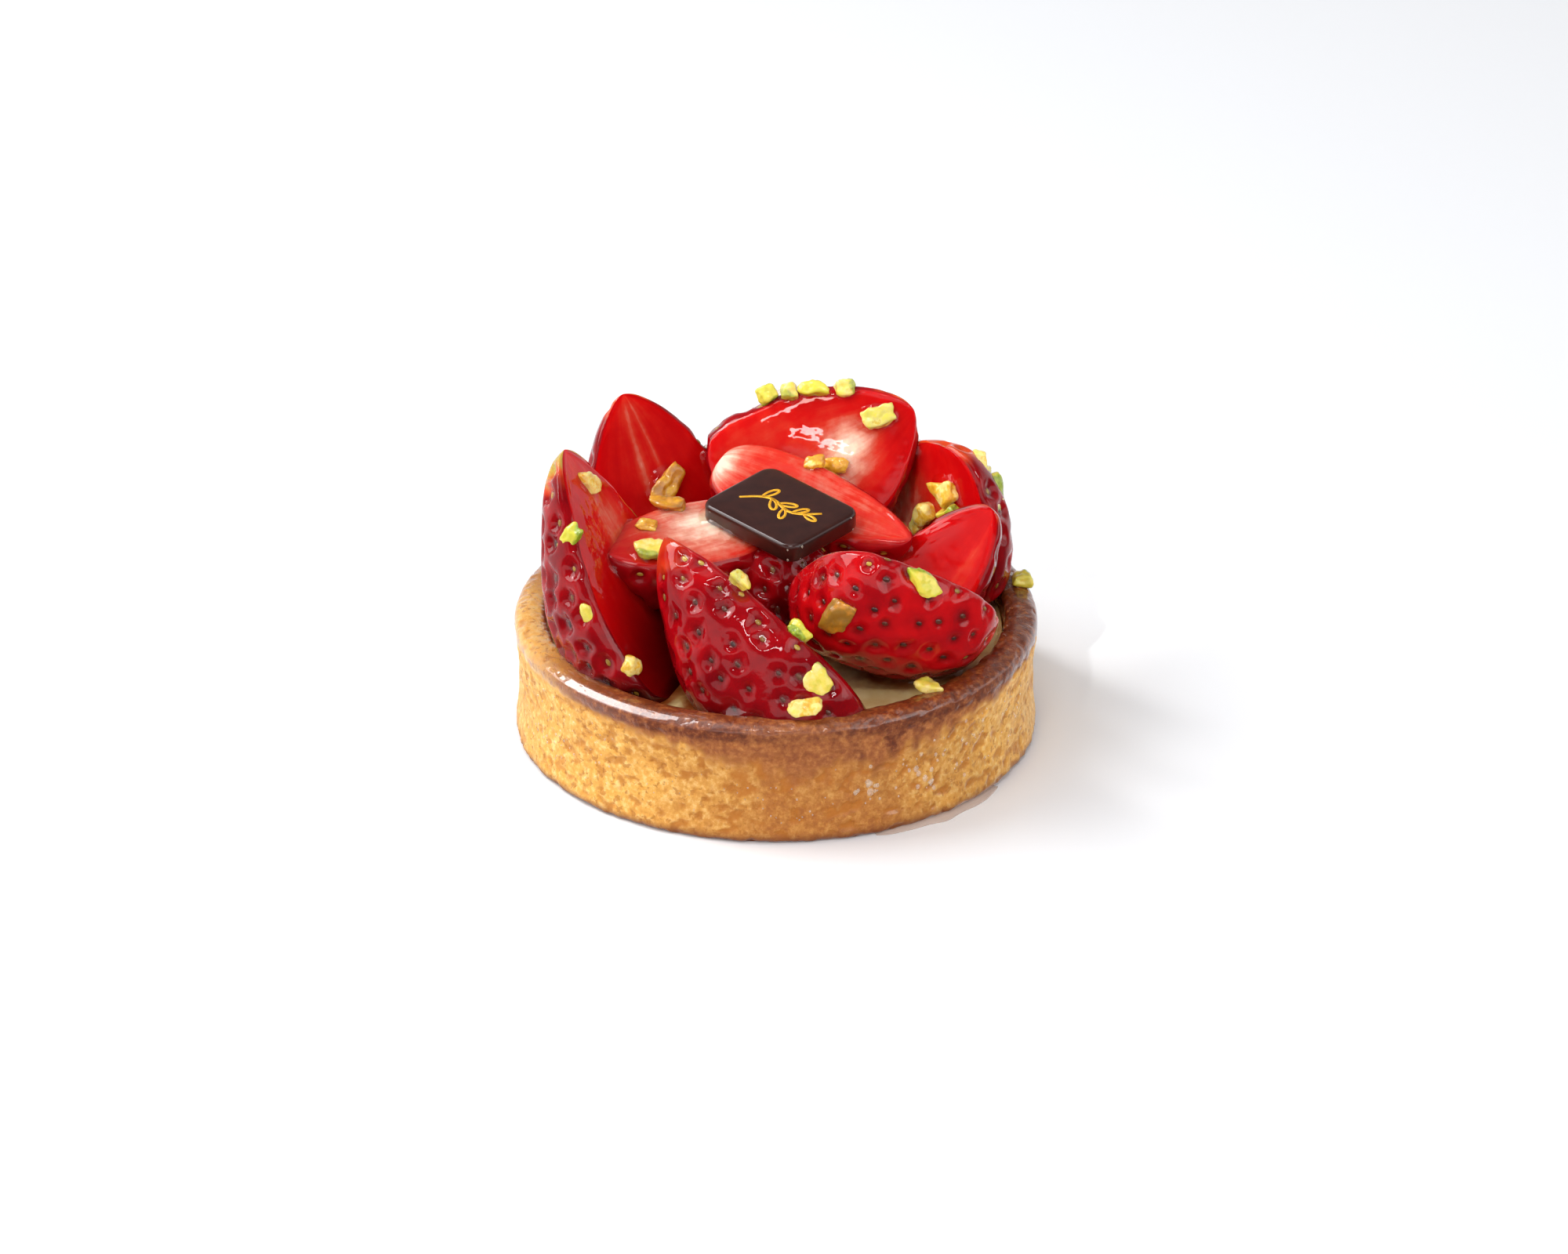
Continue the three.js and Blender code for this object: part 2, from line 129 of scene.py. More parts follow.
def new_piece(name, points, faces, smooth=True):
    """A mesh object at the origin from points in millimetres."""
    mesh = bpy.data.meshes.new(name)
    mesh.from_pydata([tuple(p) for p in np.asarray(points, float) * MM], [], faces)
    mesh.validate()
    if smooth:
        mesh.shade_smooth()
    piece = bpy.data.objects.new(name, mesh)
    bpy.context.scene.collection.objects.link(piece)
    return piece


def point_values(piece, name, values):
    """Stores one number for each point of a piece, for its material to read."""
    attribute = piece.data.attributes.new(name, "FLOAT", "POINT")
    attribute.data.foreach_set("value", np.asarray(values, np.float32).ravel())


def made_plain(piece):
    """Puts what a piece's modifier makes in place of its mesh, and takes the modifier off."""
    depsgraph = bpy.context.evaluated_depsgraph_get()
    plain = bpy.data.meshes.new_from_object(piece.evaluated_get(depsgraph))
    piece.modifiers.clear()
    piece.data = plain
    return plain


def places_of(piece):
    """The points of a piece in millimetres."""
    return np.array([v.co for v in piece.data.vertices]) / MM


print("one unit of Blender is", 1 / MM, "mm")

# %% [markdown]
# The photograph looks down on the tart from the front, from about a metre away through a long lens.
# The camera stands where the ellipses of the rim and the foot say that it did.

# %% Camera
CAMERA_AWAY = 1000.0
CAMERA_ELEVATION = math.radians(27.74)
CAMERA_TILT = math.radians(26.92)  # a little less than the elevation, so the tart sits low in the frame
CAMERA_TURN = math.radians(0.08)
CAMERA_LENS = 148.69
SENSOR_WIDTH = 36.0

camera_data = bpy.data.cameras.new("camera")
camera_data.lens = CAMERA_LENS
camera_data.sensor_width = SENSOR_WIDTH
camera_data.sensor_fit = "HORIZONTAL"
camera_data.clip_start = 0.05
camera_data.clip_end = 20
camera = bpy.data.objects.new("camera", camera_data)
camera.location = (
    0,
    -CAMERA_AWAY * MM * math.cos(CAMERA_ELEVATION),
    CAMERA_AWAY * MM * math.sin(CAMERA_ELEVATION),
)
camera.rotation_euler = (math.pi / 2 - CAMERA_TILT, 0, -CAMERA_TURN)
bpy.context.scene.collection.objects.link(camera)
bpy.context.scene.camera = camera
print("camera at", [round(c, 3) for c in camera.location])

# %% [markdown]
# The tart stands on a white sweep. The key light is a large soft box on the left, which throws a soft
# shadow to the right, and a bright strip above it lays a white streak along the glazed rim. White cards
# low in front and at the right draw the broad pink sheen on the berries, and a bright strip over the
# camera draws narrow streaks on the cut faces. A soft fill at the front left lights the sides that the
# key doesn't reach, and a narrow spot lights the cut that looks away from them all. The room is white
# behind and on the left and dark in front, so edges shine and reds stay deep. The sweep is left out of
# reflections for the same reason: real food is shot with black card in front.

# %% Floor and light
FLOOR_SIZE = 4000.0
SOFT_BOXES = [
    # name, place in mm, size in mm, roll in degrees, watts, seen in reflections
    ("key_box", (-640, 110, 600), (560, 480), 0, 3.6, True),
    ("rim_strip", (-465, 168, 747), (130, 600), -32, 2.7, True),
    ("front_panel", (720, -480, 560), (700, 700), 0, 2.2, True),
    ("front_strip", (-20, -480, 700), (300, 70), 0, 1.2, True),
    ("left_fill", (-520, -580, 470), (500, 500), 0, 1.8, False),
]
LIGHT_AIM = Vector((0, 0, 0.02))
SPOT_PLACE, SPOT_AIM = (-327, -639, 700), (21.5, 15.5, 31)
SPOT_WATTS = 170.0
SPOT_CONE = 1.15  # degrees
BACK_LIGHT = 0.95
FRONT_LIGHT = 0.1
OVERHEAD_LIGHT = 0.2
LEFT_REACH = 0.45  # how far the white behind reaches round on the left
FRONT_CARD = 1.0
CARD_FOOT, CARD_TOP = (0.1, 0.2), (0.62, 0.5)  # sines of the heights where the card starts and ends
TOP_CARD, TOP_CARD_EDGE = 0.8, (0.9, 0.96)
SWEEP_EDGE = (0.08, 0.5)  # sines of the heights between which the white fades to the light overhead
SIDE_EDGE = (-0.15, 0.35)  # how far back a direction points where the white starts and where it is full


def soft_box(name, place, size, roll, watts, mirrored):
    """A rectangular area light that looks at the tart."""
    data = bpy.data.lights.new(name, "AREA")
    data.shape = "RECTANGLE"
    data.size, data.size_y = size[0] * MM, size[1] * MM
    data.energy = watts
    light = bpy.data.objects.new(name, data)
    light.location = Vector(place) * MM
    light.visible_glossy = mirrored
    aimed = (LIGHT_AIM - light.location).to_track_quat("-Z", "Y")
    light.rotation_euler = (aimed @ Quaternion((0, 0, 1), math.radians(roll))).to_euler()
    bpy.context.scene.collection.objects.link(light)


def gridded_spot():
    """A narrow, soft-edged spot on the right berry, whose cut looks away from every other light."""
    data = bpy.data.lights.new("gridded_spot", "SPOT")
    data.energy = SPOT_WATTS
    data.spot_size = math.radians(SPOT_CONE)
    data.spot_blend = 1.0
    data.shadow_soft_size = 30 * MM
    light = bpy.data.objects.new("gridded_spot", data)
    light.location = Vector(SPOT_PLACE) * MM
    light.rotation_euler = (Vector(SPOT_AIM) * MM - light.location).to_track_quat("-Z", "Y").to_euler()
    light.visible_glossy = False
    bpy.context.scene.collection.objects.link(light)


def studio_world():
    """A room that is white behind and on the left, with a white card low in front and one overhead."""
    world = bpy.data.worlds.new("white behind, cards in front")
    world.use_nodes = True
    tree = world.node_tree
    direction = add_node(tree, "ShaderNodeTexCoord").outputs["Generated"]
    right, back, up = add_node(tree, "ShaderNodeSeparateXYZ", {}, [direction]).outputs
    turned = add_node(tree, MATH, MULTIPLY_ADD, [right, -LEFT_REACH, back])
    behind = add_node(tree, RANGE, SMOOTH, [turned, *SIDE_EDGE])
    sweep = add_node(tree, RANGE, SMOOTH, [up, *SWEEP_EDGE, BACK_LIGHT, OVERHEAD_LIGHT])
    foot, top, overhead = (
        add_node(tree, RANGE, SMOOTH, [up, *edge]) for edge in (CARD_FOOT, CARD_TOP, TOP_CARD_EDGE)
    )
    card = add_node(tree, MATH, MULTIPLY, [foot, top])
    front = add_node(tree, MATH, MULTIPLY_ADD, [card, FRONT_CARD, FRONT_LIGHT])
    not_behind = add_node(tree, MATH, SUBTRACT, [1.0, behind])
    dark = add_node(tree, MATH, MULTIPLY, [front, not_behind])
    room = add_node(tree, MATH, MULTIPLY_ADD, [behind, sweep, dark])
    strength = add_node(tree, MATH, MULTIPLY_ADD, [overhead, TOP_CARD, room])
    fill(tree, tree.nodes["Background"], {"Color": "#FBFCFF", "Strength": strength})
    return world


for soft in SOFT_BOXES:
    soft_box(*soft)
gridded_spot()
bpy.context.scene.world = studio_world()
bpy.context.scene.view_settings.view_transform = "Standard"

half = FLOOR_SIZE / 2
floor = new_piece(
    "floor", [(-half, -half, 0), (half, -half, 0), (half, half, 0), (-half, half, 0)], [(0, 1, 2, 3)]
)
floor_paint, tree, shader = new_material("white laminate sweep")
fill(tree, shader, {"Base Color": "#F6F7F9", "Roughness": 0.55})
floor.data.materials.append(floor_paint)
floor.visible_glossy = False
print("lights:", [soft[0] for soft in SOFT_BOXES])

# %% [markdown]
# A lathe turns an outline round the upright axis. The real case was pressed into a ring, so its wall is
# round but its surface is baked crumb: soft lumps, shallow pores and a rough foot. Those are real relief
# here, because the wall is seen against the light, and only the finest grain is left to bump.

# %% Crust outline
CRUST_RADIUS = 40.0
CRUST_HEIGHT = 19.6
WALL = 5.0
FLOOR_THICK = 4.0
FOOT_ROUND = 1.2
WAIST_DEPTH = 0.6
RIM_EDGE = 17.6
RIM_INNER = 18.2
RIM_BLUNTNESS = 0.65  # power of the sine that arches the rim: 0.5 is blunt, 1 is a plain arch
CRUST_COLUMNS = 640


def crust_outline():
    """Points (radius, height) from the middle underside, up the wall, over the rim and into the case."""
    outline = [(r, 0.0) for r in (0.0, 20.0, 34.0, 37.5)]
    for angle in np.linspace(-math.pi / 2, 0, 7):
        inward, height = FOOT_ROUND * (1 - math.cos(angle)), FOOT_ROUND * (1 + math.sin(angle))
        outline.append((CRUST_RADIUS - inward, height))
    for t in np.linspace(0, 1, 58)[1:-1]:
        waist = WAIST_DEPTH * math.sin(math.pi * t)
        outline.append((CRUST_RADIUS - waist, FOOT_ROUND + (RIM_EDGE - FOOT_ROUND) * t))
    for t in np.linspace(0, 1, 42):
        edge = RIM_EDGE + (RIM_INNER - RIM_EDGE) * t
        radius = CRUST_RADIUS - WALL / 2 + WALL / 2 * math.cos(math.pi * t)
        arch = max(math.sin(math.pi * t), 0) ** RIM_BLUNTNESS
        outline.append((radius, edge + (CRUST_HEIGHT - edge) * arch))
    inner = CRUST_RADIUS - WALL
    outline += [(inner, h) for h in np.linspace(17.9, 15.2, 12)]
    outline += [(inner, FLOOR_THICK), (20.0, FLOOR_THICK), (0.0, FLOOR_THICK)]
    return np.array(outline)


crust_line = crust_outline()
print("crust outline:", len(crust_line), "points")

# %% [markdown]
# The relief is worked out for each point of the grid from smooth noise. Pores come where the noise peaks,
# and there the surface drops in a little. The left shoulder of the rim is smooth, because the glaze lies
# thick there and draws one long streak of light. Four more numbers ride on the points: how deep in a pore
# the point lies, how brown it is, with the brown cut back where light is painted on the left rim, how much
# darker the front of the wall is, and how wet with glaze.

# %% Crust mesh
PORE_DEPTH = 0.26
LUMP = 0.16
FOOT_CRUMB = 0.3
FLAKE = 0.3  # relief of the flaky inner side of the rim
BROWN_REACH = 9.0  # how far the brown runs down the wall at the front, in mm
DARK_FRONT_TURN, DARK_FRONT_WIDTH = -78, 30  # the wall is darkest at the front, in degrees round the case
PORE_WIDTH, BROWN_WIDTH = 60, 38  # how far from there the pores stay deep and the brown runs down
STREAK_TURN, STREAK_WIDTH = -126, 24  # where the glaze on the shoulder is thick and smooth
STREAK_PLACE = (39.3, 19.05)  # radius and height of the middle of the flat that the glaze makes there
STREAK_SLOPE = 0.664
DRIP_TURN, DRIP_WIDTH = -52, 17  # where glaze ran down the wall
MATT_TURN, MATT_WIDTH = -84, 17  # where the top of the rim took little glaze
LIT_RIM_TURN, LIT_RIM_WIDTH = -172, 36  # where the key light falls on the outer half of the rim: painted light, less brown there
CRUST_FINISH = ("pore", "brown", "front_dark", "wet")


def smoothstep(low, high, value):
    """A smooth ramp from 0 at low to 1 at high."""
    t = np.clip((np.asarray(value, float) - low) / (high - low), 0, 1)
    return t * t * (3 - 2 * t)


def noise_at(points, size, shift=0.0):
    """Smooth noise between -1 and 1 at each point, with waves of the given size in mm."""
    scaled = np.asarray(points, float) / size + shift
    return np.array([noise.noise(Vector(p)) for p in scaled])


def near_turn(flat, turn, width):
    """1 at a direction round the case, fading out over a width, both in degrees."""
    away = (np.degrees(np.arctan2(flat[:, 1], flat[:, 0])) - turn + 180) % 360 - 180
    return np.exp(-((away / width) ** 2))


def crust_finish(flat):
    """How deep in a pore, how brown (less where light is painted on the left rim), how dark at the front and
    how wet each point of the crust is.
    """
    radius = np.hypot(flat[:, 0], flat[:, 1])
    wall = smoothstep(CRUST_RADIUS - 2.2, CRUST_RADIUS - 1.0, radius)
    front_dark = near_turn(flat, DARK_FRONT_TURN, DARK_FRONT_WIDTH)
    pits = noise_at(flat * np.array([1, 1, 1.35]), 2.0, 31.0) + 0.4 * noise_at(flat, 0.9, 53.0)
    pore = smoothstep(0.16, 0.4, pits + 0.3 * noise_at(flat, 8.0, 17.0)) * (0.1 + 0.9 * wall)
    pore *= 0.45 + 0.55 * near_turn(flat, DARK_FRONT_TURN, PORE_WIDTH)
    dribbles = noise_at(flat * np.array([1, 1, 0.25]), 1.7, 5.0) + 0.6 * noise_at(flat, 1.2, 9.0)
    reach = BROWN_REACH * (0.15 + 0.85 * near_turn(flat, DARK_FRONT_TURN, BROWN_WIDTH))
    reach *= 1 + 0.3 * noise_at(flat, 6.0, 3.0) + 0.45 * dribbles
    brown = smoothstep(RIM_EDGE - 0.4 - reach, RIM_EDGE + 1.0 - 0.25 * reach, flat[:, 2])
    # Painted light: the key light falls on the outer half of the rim on the left, so the brown is cut back
    # there.
    lit_rim = near_turn(flat, LIT_RIM_TURN, LIT_RIM_WIDTH)
    lit_rim *= smoothstep(CRUST_RADIUS - 5.2, CRUST_RADIUS - 3.6, radius)
    drip = near_turn(flat, DRIP_TURN, DRIP_WIDTH) * smoothstep(-0.25, 0.2, noise_at(flat, 3.2, 23.0))
    rim = smoothstep(RIM_EDGE - 1.6, RIM_EDGE + 0.2, flat[:, 2])
    matt = near_turn(flat, MATT_TURN, MATT_WIDTH)
    matt *= smoothstep(CRUST_RADIUS - 4.6, CRUST_RADIUS - 3.8, radius)
    wet = np.clip(np.maximum(rim * (1 - 0.6 * matt), (0.15 + drip) * wall), 0, 1)
    return pore, brown * (1 - 0.85 * lit_rim), front_dark, wet


def crust_mesh():
    """The turned and roughened case, with the finish of each point."""
    turns = np.linspace(0, 2 * math.pi, CRUST_COLUMNS, endpoint=False)
    rows = len(crust_line)
    radius, height = crust_line[1:-1, 0], crust_line[1:-1, 1]
    grid = np.stack(
        [
            radius[:, None] * np.cos(turns),
            radius[:, None] * np.sin(turns),
            np.repeat(height[:, None], CRUST_COLUMNS, axis=1),
        ],
        axis=-1,
    )
    flat = grid.reshape(-1, 3)
    reach = np.hypot(flat[:, 0], flat[:, 1])
    shown = (reach > CRUST_RADIUS - WALL - 0.2) & (flat[:, 2] > 0.05)
    lumps = noise_at(flat, 7.0) + 0.6 * noise_at(flat, 2.6, 7.0) + 0.4 * noise_at(flat, 0.9, 13.0)
    finish = crust_finish(flat)
    foot = smoothstep(1.6, 0.2, flat[:, 2]) * noise_at(flat, 1.5, 11.0)
    inside = smoothstep(CRUST_RADIUS - WALL + 1.4, CRUST_RADIUS - WALL + 0.2, reach)
    flakes = inside * (noise_at(flat, 1.8, 71.0) + 0.6 * noise_at(flat, 0.8, 73.0))
    shift = LUMP * lumps - PORE_DEPTH * finish[0] + FOOT_CRUMB * foot + FLAKE * flakes
    glazed = near_turn(flat, STREAK_TURN, STREAK_WIDTH)
    smooth_glaze = glazed * smoothstep(17.6, 18.4, flat[:, 2])
    shift = np.where(shown, shift * (1 - 0.97 * smooth_glaze), 0)
    chamfer = STREAK_PLACE[1] - STREAK_SLOPE * (reach - STREAK_PLACE[0])
    over = np.maximum(flat[:, 2] - chamfer, 0) * (reach > STREAK_PLACE[0] - 2)
    flat[:, 2] -= over * smoothstep(0.2, 0.6, glazed) * (flat[:, 2] > RIM_EDGE)
    outward = np.stack([flat[:, 0], flat[:, 1], np.zeros(len(flat))], axis=1)
    outward /= np.maximum(np.linalg.norm(outward, axis=1, keepdims=True), 1e-9)
    outward *= 1 - 2 * smoothstep(CRUST_RADIUS - WALL + 0.6, CRUST_RADIUS - WALL + 0.1, reach)[:, None]
    up = smoothstep(RIM_EDGE - 0.5, RIM_EDGE + 1.2, flat[:, 2])[:, None]
    direction = outward * (1 - up) + np.array([0, 0, 1.0]) * up
    flat = flat + direction * shift[:, None]
    points = np.vstack([flat, [[0, 0, 0], [0, 0, FLOOR_THICK]]])
    faces = ring_faces(rows - 2, CRUST_COLUMNS)
    return points, faces, [np.append(values, [0, 0]) for values in finish]


def ring_faces(rows, columns):
    """Faces of rings of points joined up in order, with a fan at each end on two last points."""
    faces = []
    for row in range(rows - 1):
        for column in range(columns):
            nxt = (column + 1) % columns
            a, b = row * columns + column, row * columns + nxt
            faces.append((a, b, b + columns, a + columns))
    last, first_end = (rows - 1) * columns, rows * columns
    for column in range(columns):
        nxt = (column + 1) % columns
        faces.append((first_end, nxt, column))
        faces.append((first_end + 1, last + column, last + nxt))
    return faces


points, faces, finish = crust_mesh()
crust = new_piece("baked_crust", points, faces)
for name, values in zip(CRUST_FINISH, finish):
    point_values(crust, name, values)
print("crust:", len(faces), "faces")

# %% [markdown]
# Shortcrust is flour and butter. It bakes pale gold on the wall, where the ring shields it, and brown on
# the open rim. At the front the wall is darker too, and the brown runs down it in ragged dribbles. On the
# left the outer half of the rim is painted lighter, where the key light falls. Pores are amber, because
# syrup and butter gather in them. Glaze wets the rim and, where it dripped, the wall.

# %% Crust material
def waves(place, size_mm, detail=3, rough=0.5):
    """Inputs for noise with waves of a size in mm, on a place in metres."""
    return {"Vector": place, "Scale": 1 / (size_mm * MM), "Detail": detail, "Roughness": rough}


def lets_light_in(weight, spread, depth_mm):
    """Inputs for a stuff that lets light in: how much, how far each colour spreads, and the depth."""
    return {"Subsurface Weight": weight, "Subsurface Radius": spread, "Subsurface Scale": depth_mm * MM}


def shortcrust():
    """Baked shortcrust: gold wall, ragged brown rim, amber pores, a shine where glaze was brushed."""
    reads = ("place", *CRUST_FINISH)
    material, tree, shader, place, pore, brown, front_dark, wet = new_material("baked shortcrust", reads)
    grain, broad, fine, coarse = (
        add_node(tree, NOISE, {}, waves(place, *size))
        for size in ((1.0, 6, 0.65), (6.0, 3, 0.5), (0.35, 4, 0.6), (1.2, 2, 0.6))
    )
    pale, front_dark_tone, rim, band = (
        add_node(tree, RAMP, {}, [grain], stops)
        for stops in (
            [(0.32, "#DE9A3A"), (0.5, "#F0B250"), (0.64, "#FBD080")],
            [(0.32, "#A45D1F"), (0.5, "#B97229"), (0.66, "#CF8E3E")],
            [(0.3, "#54200A"), (0.5, "#7C3812"), (0.7, "#AC6430")],
            [(0.3, "#85411A"), (0.5, "#A65E28"), (0.7, "#C47E3C")],
        )
    )
    amber = add_node(tree, MATH, MULTIPLY, [pore, 0.85])
    specks = add_node(tree, RANGE, SMOOTH, [coarse, 0.56, 0.66, 0.0, 0.6])
    # The brown is less on the left rim, where light is painted.
    # The grain eats into the edge of the brown, so that it ends in specks.
    browned = add_node(tree, RANGE, SMOOTH, [stirred(tree, brown, grain, 0.8), 0.12, 0.85])
    glazed = add_node(tree, RANGE, SMOOTH, [wet, 0.1, 0.8])
    open_rim = add_node(tree, MATH, MULTIPLY, [browned, glazed])
    height = add_node(tree, "ShaderNodeSeparateXYZ", {}, [place]).outputs["Z"]
    foot = add_node(tree, RANGE, SMOOTH, [height, 2.2 * MM, 0.2 * MM, 0.0, 0.9])
    wall = [(stirred(tree, front_dark, broad, 1.1), front_dark_tone), (amber, "#BC6E14"), (specks, "#B26A18")]
    baked = layered(tree, pale, wall + [(browned, band), (open_rim, rim), (foot, "#80401A")])
    half_fine = add_node(tree, MATH, MULTIPLY_ADD, [fine, 0.5, grain])
    crumb = add_node(tree, MATH, SUBTRACT, [half_fine, specks])
    look = {
        "Base Color": baked,
        "Roughness": add_node(tree, RANGE, SMOOTH, [wet, 0.0, 1.0, 0.6, 0.4]),
        "Coat Weight": add_node(tree, RANGE, SMOOTH, [wet, 0.1, 0.8, 0.1, 0.9]),
        "Coat Roughness": 0.03,
        "Coat IOR": 1.55,
        "Normal": add_node(tree, BUMP, {}, {"Height": crumb, "Strength": 0.5, "Distance": 0.22 * MM}),
    }
    fill(tree, shader, look | lets_light_in(0.2, (1.0, 0.45, 0.15), 1.2))
    return material


crust.data.materials.append(shortcrust())
print("crust material:", crust.data.materials[0].name)

# %% [markdown]
# The cream shows in two gaps behind the rim. It is piped level and then set, so a disc with a soft swell
# is enough, and it climbs a little where it touches the crust. Juice and syrup have run down round the
# berries, and shade falls there under them, so a number on its points says how near the next berry is,
# and the cream is darker there: part stain, part painted shade.

# %% Cream
CREAM_TOP = 16.0
CREAM_RADIUS = 34.6
CREAM_UNDERSIDE = 4.4


def cream_mesh():
    """A disc of cream with soft swells and a raised edge."""
    radii = np.concatenate([[CREAM_RADIUS, 34.4, 34.0], np.arange(33.4, 8, -0.8)])
    turns = np.linspace(0, 2 * math.pi, 240, endpoint=False)
    circle = np.stack([np.cos(turns), np.sin(turns)], axis=1)
    rings = [np.column_stack([circle * CREAM_RADIUS, np.full(len(turns), CREAM_UNDERSIDE)])]
    for radius in radii:
        ring = np.column_stack([circle * radius, np.full(len(turns), CREAM_TOP)])
        ring[:, 2] += 0.35 * noise_at(ring, 8.0) + 0.1 * noise_at(ring, 2.5)
        ring[:, 2] += 0.5 * smoothstep(32.5, CREAM_RADIUS, radius)
        rings.append(ring)
    points = np.vstack(rings + [[[0, 0, CREAM_UNDERSIDE], [0, 0, CREAM_TOP]]])
    return points, ring_faces(len(rings), len(turns))


points, faces = cream_mesh()
cream = new_piece("pastry_cream", points, faces)
print("cream:", len(faces), "faces")

# %% [markdown]
# Every strawberry piece is half a berry, cut lengthwise, so one function makes them all. A row of
# stations runs from the leaf end to the tip, and each station is a D: a straight cut side and a round
# skin side. The sizes and places are those of the solids, but two berries are a little fuller. Each has
# its own looks too: how much the skin swells between its seeds, how wet the cut is, how green the tip,
# how much shade is painted into its crevices and over its whole cut, and where the flesh is pale. A pale
# spot has its middle, across and along the cut, its reach both ways, and how pale it is. A ridge of glaze
# has its two ends on the cut, its rise and its reach.

# %% Strawberry sizes
# deep is painted shade: how much falls in crevices, and how much darkens the whole cut.
USUAL = dict(shoulder=2.6, belly=0.34, green=0, deep=(0.95, 0.0), ridges=[])
STRAWBERRIES = {
    "strawberry_front": dict(
        hull=(13, -25.5, 9), tip=(-16.5, -16.2, 39.4), face=(0.6, 0.7, 0.5),
        width=28, depth=16, point=1.5,
        quilt=0.16, wet=1.0, green=0.35, pale=[(0, 1.0, 9, 0.3, 0.5)],
    ),
    # Its pale spot covers the skin and makes it brighter red: painted light where the key light falls.
    "strawberry_front_right": dict(
        hull=(5, -17, 35.2), tip=(32, -12.7, 22), face=(0.35, 0.76, 0.53),
        width=28, depth=12, point=2.4, shoulder=3, belly=0.36,
        quilt=0.12, wet=1.0, green=0.35, pale=[(0, 0.4, 9, 1.0, 0.8)],
    ),
    "strawberry_middle_left": dict(
        hull=(-3, 1, 34.4), tip=(-25.5, -12, 34.8), face=(0, -0.2, 1),
        width=17, depth=17, point=2,
        quilt=0.35, wet=1.0, pale=[(0, 0.4, 2, 0.5, 0.6), (-0.1, 0.3, 0.7, 0.3, 0.3)],
    ),
    "strawberry_back_left": dict(
        hull=(-12, 10, 16), tip=(-23.6, 22, 45.2), face=(0.35, -0.8, 0.45),
        width=26, depth=16.5, point=1.5, belly=0.36,
        quilt=0.2, wet=0.03, green=0.6,
        pale=[
            (0.12, 0.68, 0.09, 0.24, 0.5), (-0.16, 0.7, 0.06, 0.22, 0.42),
            (0, 0.95, 0.6, 0.12, 0.35), (0, 0.6, 0.8, 0.4, 0.12),
        ],
    ),
    "strawberry_middle_back": dict(
        hull=(-8.5, 12.5, 38.6), tip=(20.5, -4, 33), face=(-0.1, -0.35, 0.93),
        width=14.5, depth=17, point=1.6, shoulder=3,
        quilt=0.3, wet=0.8, deep=(0.3, 0.0), pale=[(-0.2, 0.0, 1.2, 0.1, 0.7), (0, 0.5, 3, 0.8, 0.5)],
    ),
    "strawberry_right_low": dict(
        hull=(15, -7, 17), tip=(32.8, -3, 37.5), face=(-0.45, -0.75, 0.5),
        width=17, depth=10, point=1.7,
        quilt=0.3, wet=0.5, green=0.3, deep=(0.3, 0.3), pale=[(-0.45, 0.68, 0.2, 0.25, 0.35)],
        ridges=[(((7.6, 11.0), (2.6, 23.0)), 0.35, 1.4)],
    ),
    "strawberry_left": dict(
        hull=(-12.6, -16.6, 14.6), tip=(-31.8, -4.5, 48.3), face=(0.85, -0.3, 0.43),
        width=29, depth=15, point=1.45, shoulder=3.2, belly=0.32,
        quilt=0.5, wet=0.9, green=1.0, deep=(0.9, 0.7),
        pale=[(-0.15, 0.72, 0.45, 0.14, 0.5), (-0.3, 0.5, 0.5, 0.14, 0.35), (0.1, 0.92, 0.5, 0.08, 0.3)],
    ),
    "strawberry_right": dict(
        hull=(25.5, 9, 15), tip=(24.3, 15, 40), face=(-0.75, -0.55, 0.3),
        width=25.2, depth=9.5, point=2.5,
        quilt=0.3, wet=0.5, green=0.5, deep=(0.0, 0.0),
        pale=[(0.4, 0.5, 0.6, 0.35, 0.5), (1.0, 0.6, 0.35, 0.4, 0.4)],
    ),
    "strawberry_back": dict(
        hull=(-6, 12.4, 28.4), tip=(21.2, 20, 43.6), face=(0, -0.82, 0.56),
        width=29.5, depth=18, point=1.65, shoulder=3.4, belly=0.25,
        quilt=0.2, wet=0.9, green=0.6, deep=(0.3, 0.0),
        pale=[(0.3, 0.25, 1.0, 0.35, 0.36), (0.05, 0.66, 0.42, 0.15, 0.85), (-0.35, 0.48, 0.35, 0.2, 0.35)],
        ridges=[(((7.4, 12.2), (-2.6, 21.0)), 0.28, 2.0)],
    ),
    "strawberry_middle": dict(
        hull=(1.5, -3, 15), tip=(-0.5, -3.5, 34), face=(0, 1, 0),
        width=21, depth=8.5, point=2.2, belly=0.4,
        quilt=0.2, wet=0.8, deep=(0.95, 0.8), pale=[(0, 0.5, 0.3, 0.3, 0.3)],
    ),
}
STRAWBERRIES = {name: USUAL | berry for name, berry in STRAWBERRIES.items()}
FACE_CORE = 0.45  # inner point of the D, as a share of the depth
FACE_SHARPNESS = 8  # how sharply the cut meets the skin
EDGE_ANGLE = math.atan2(FACE_CORE, 1)
print("strawberry pieces:", len(STRAWBERRIES))

# %% Strawberry shape
STATION_STEP = 0.28
FACE_COLUMNS = 70
SKIN_COLUMNS = 130
BERRY_RELIEF = 0.05  # how uneven a berry is, as a share of its width


def half_section(angle):
    """Distance from the inner point to the D outline in each direction."""
    up = np.sin(angle)
    skin = FACE_CORE * up + np.sqrt(FACE_CORE**2 * up**2 + 1 - FACE_CORE**2)
    face = np.maximum(up, 0) / FACE_CORE
    return (skin**-FACE_SHARPNESS + face**FACE_SHARPNESS) ** (-1 / FACE_SHARPNESS)


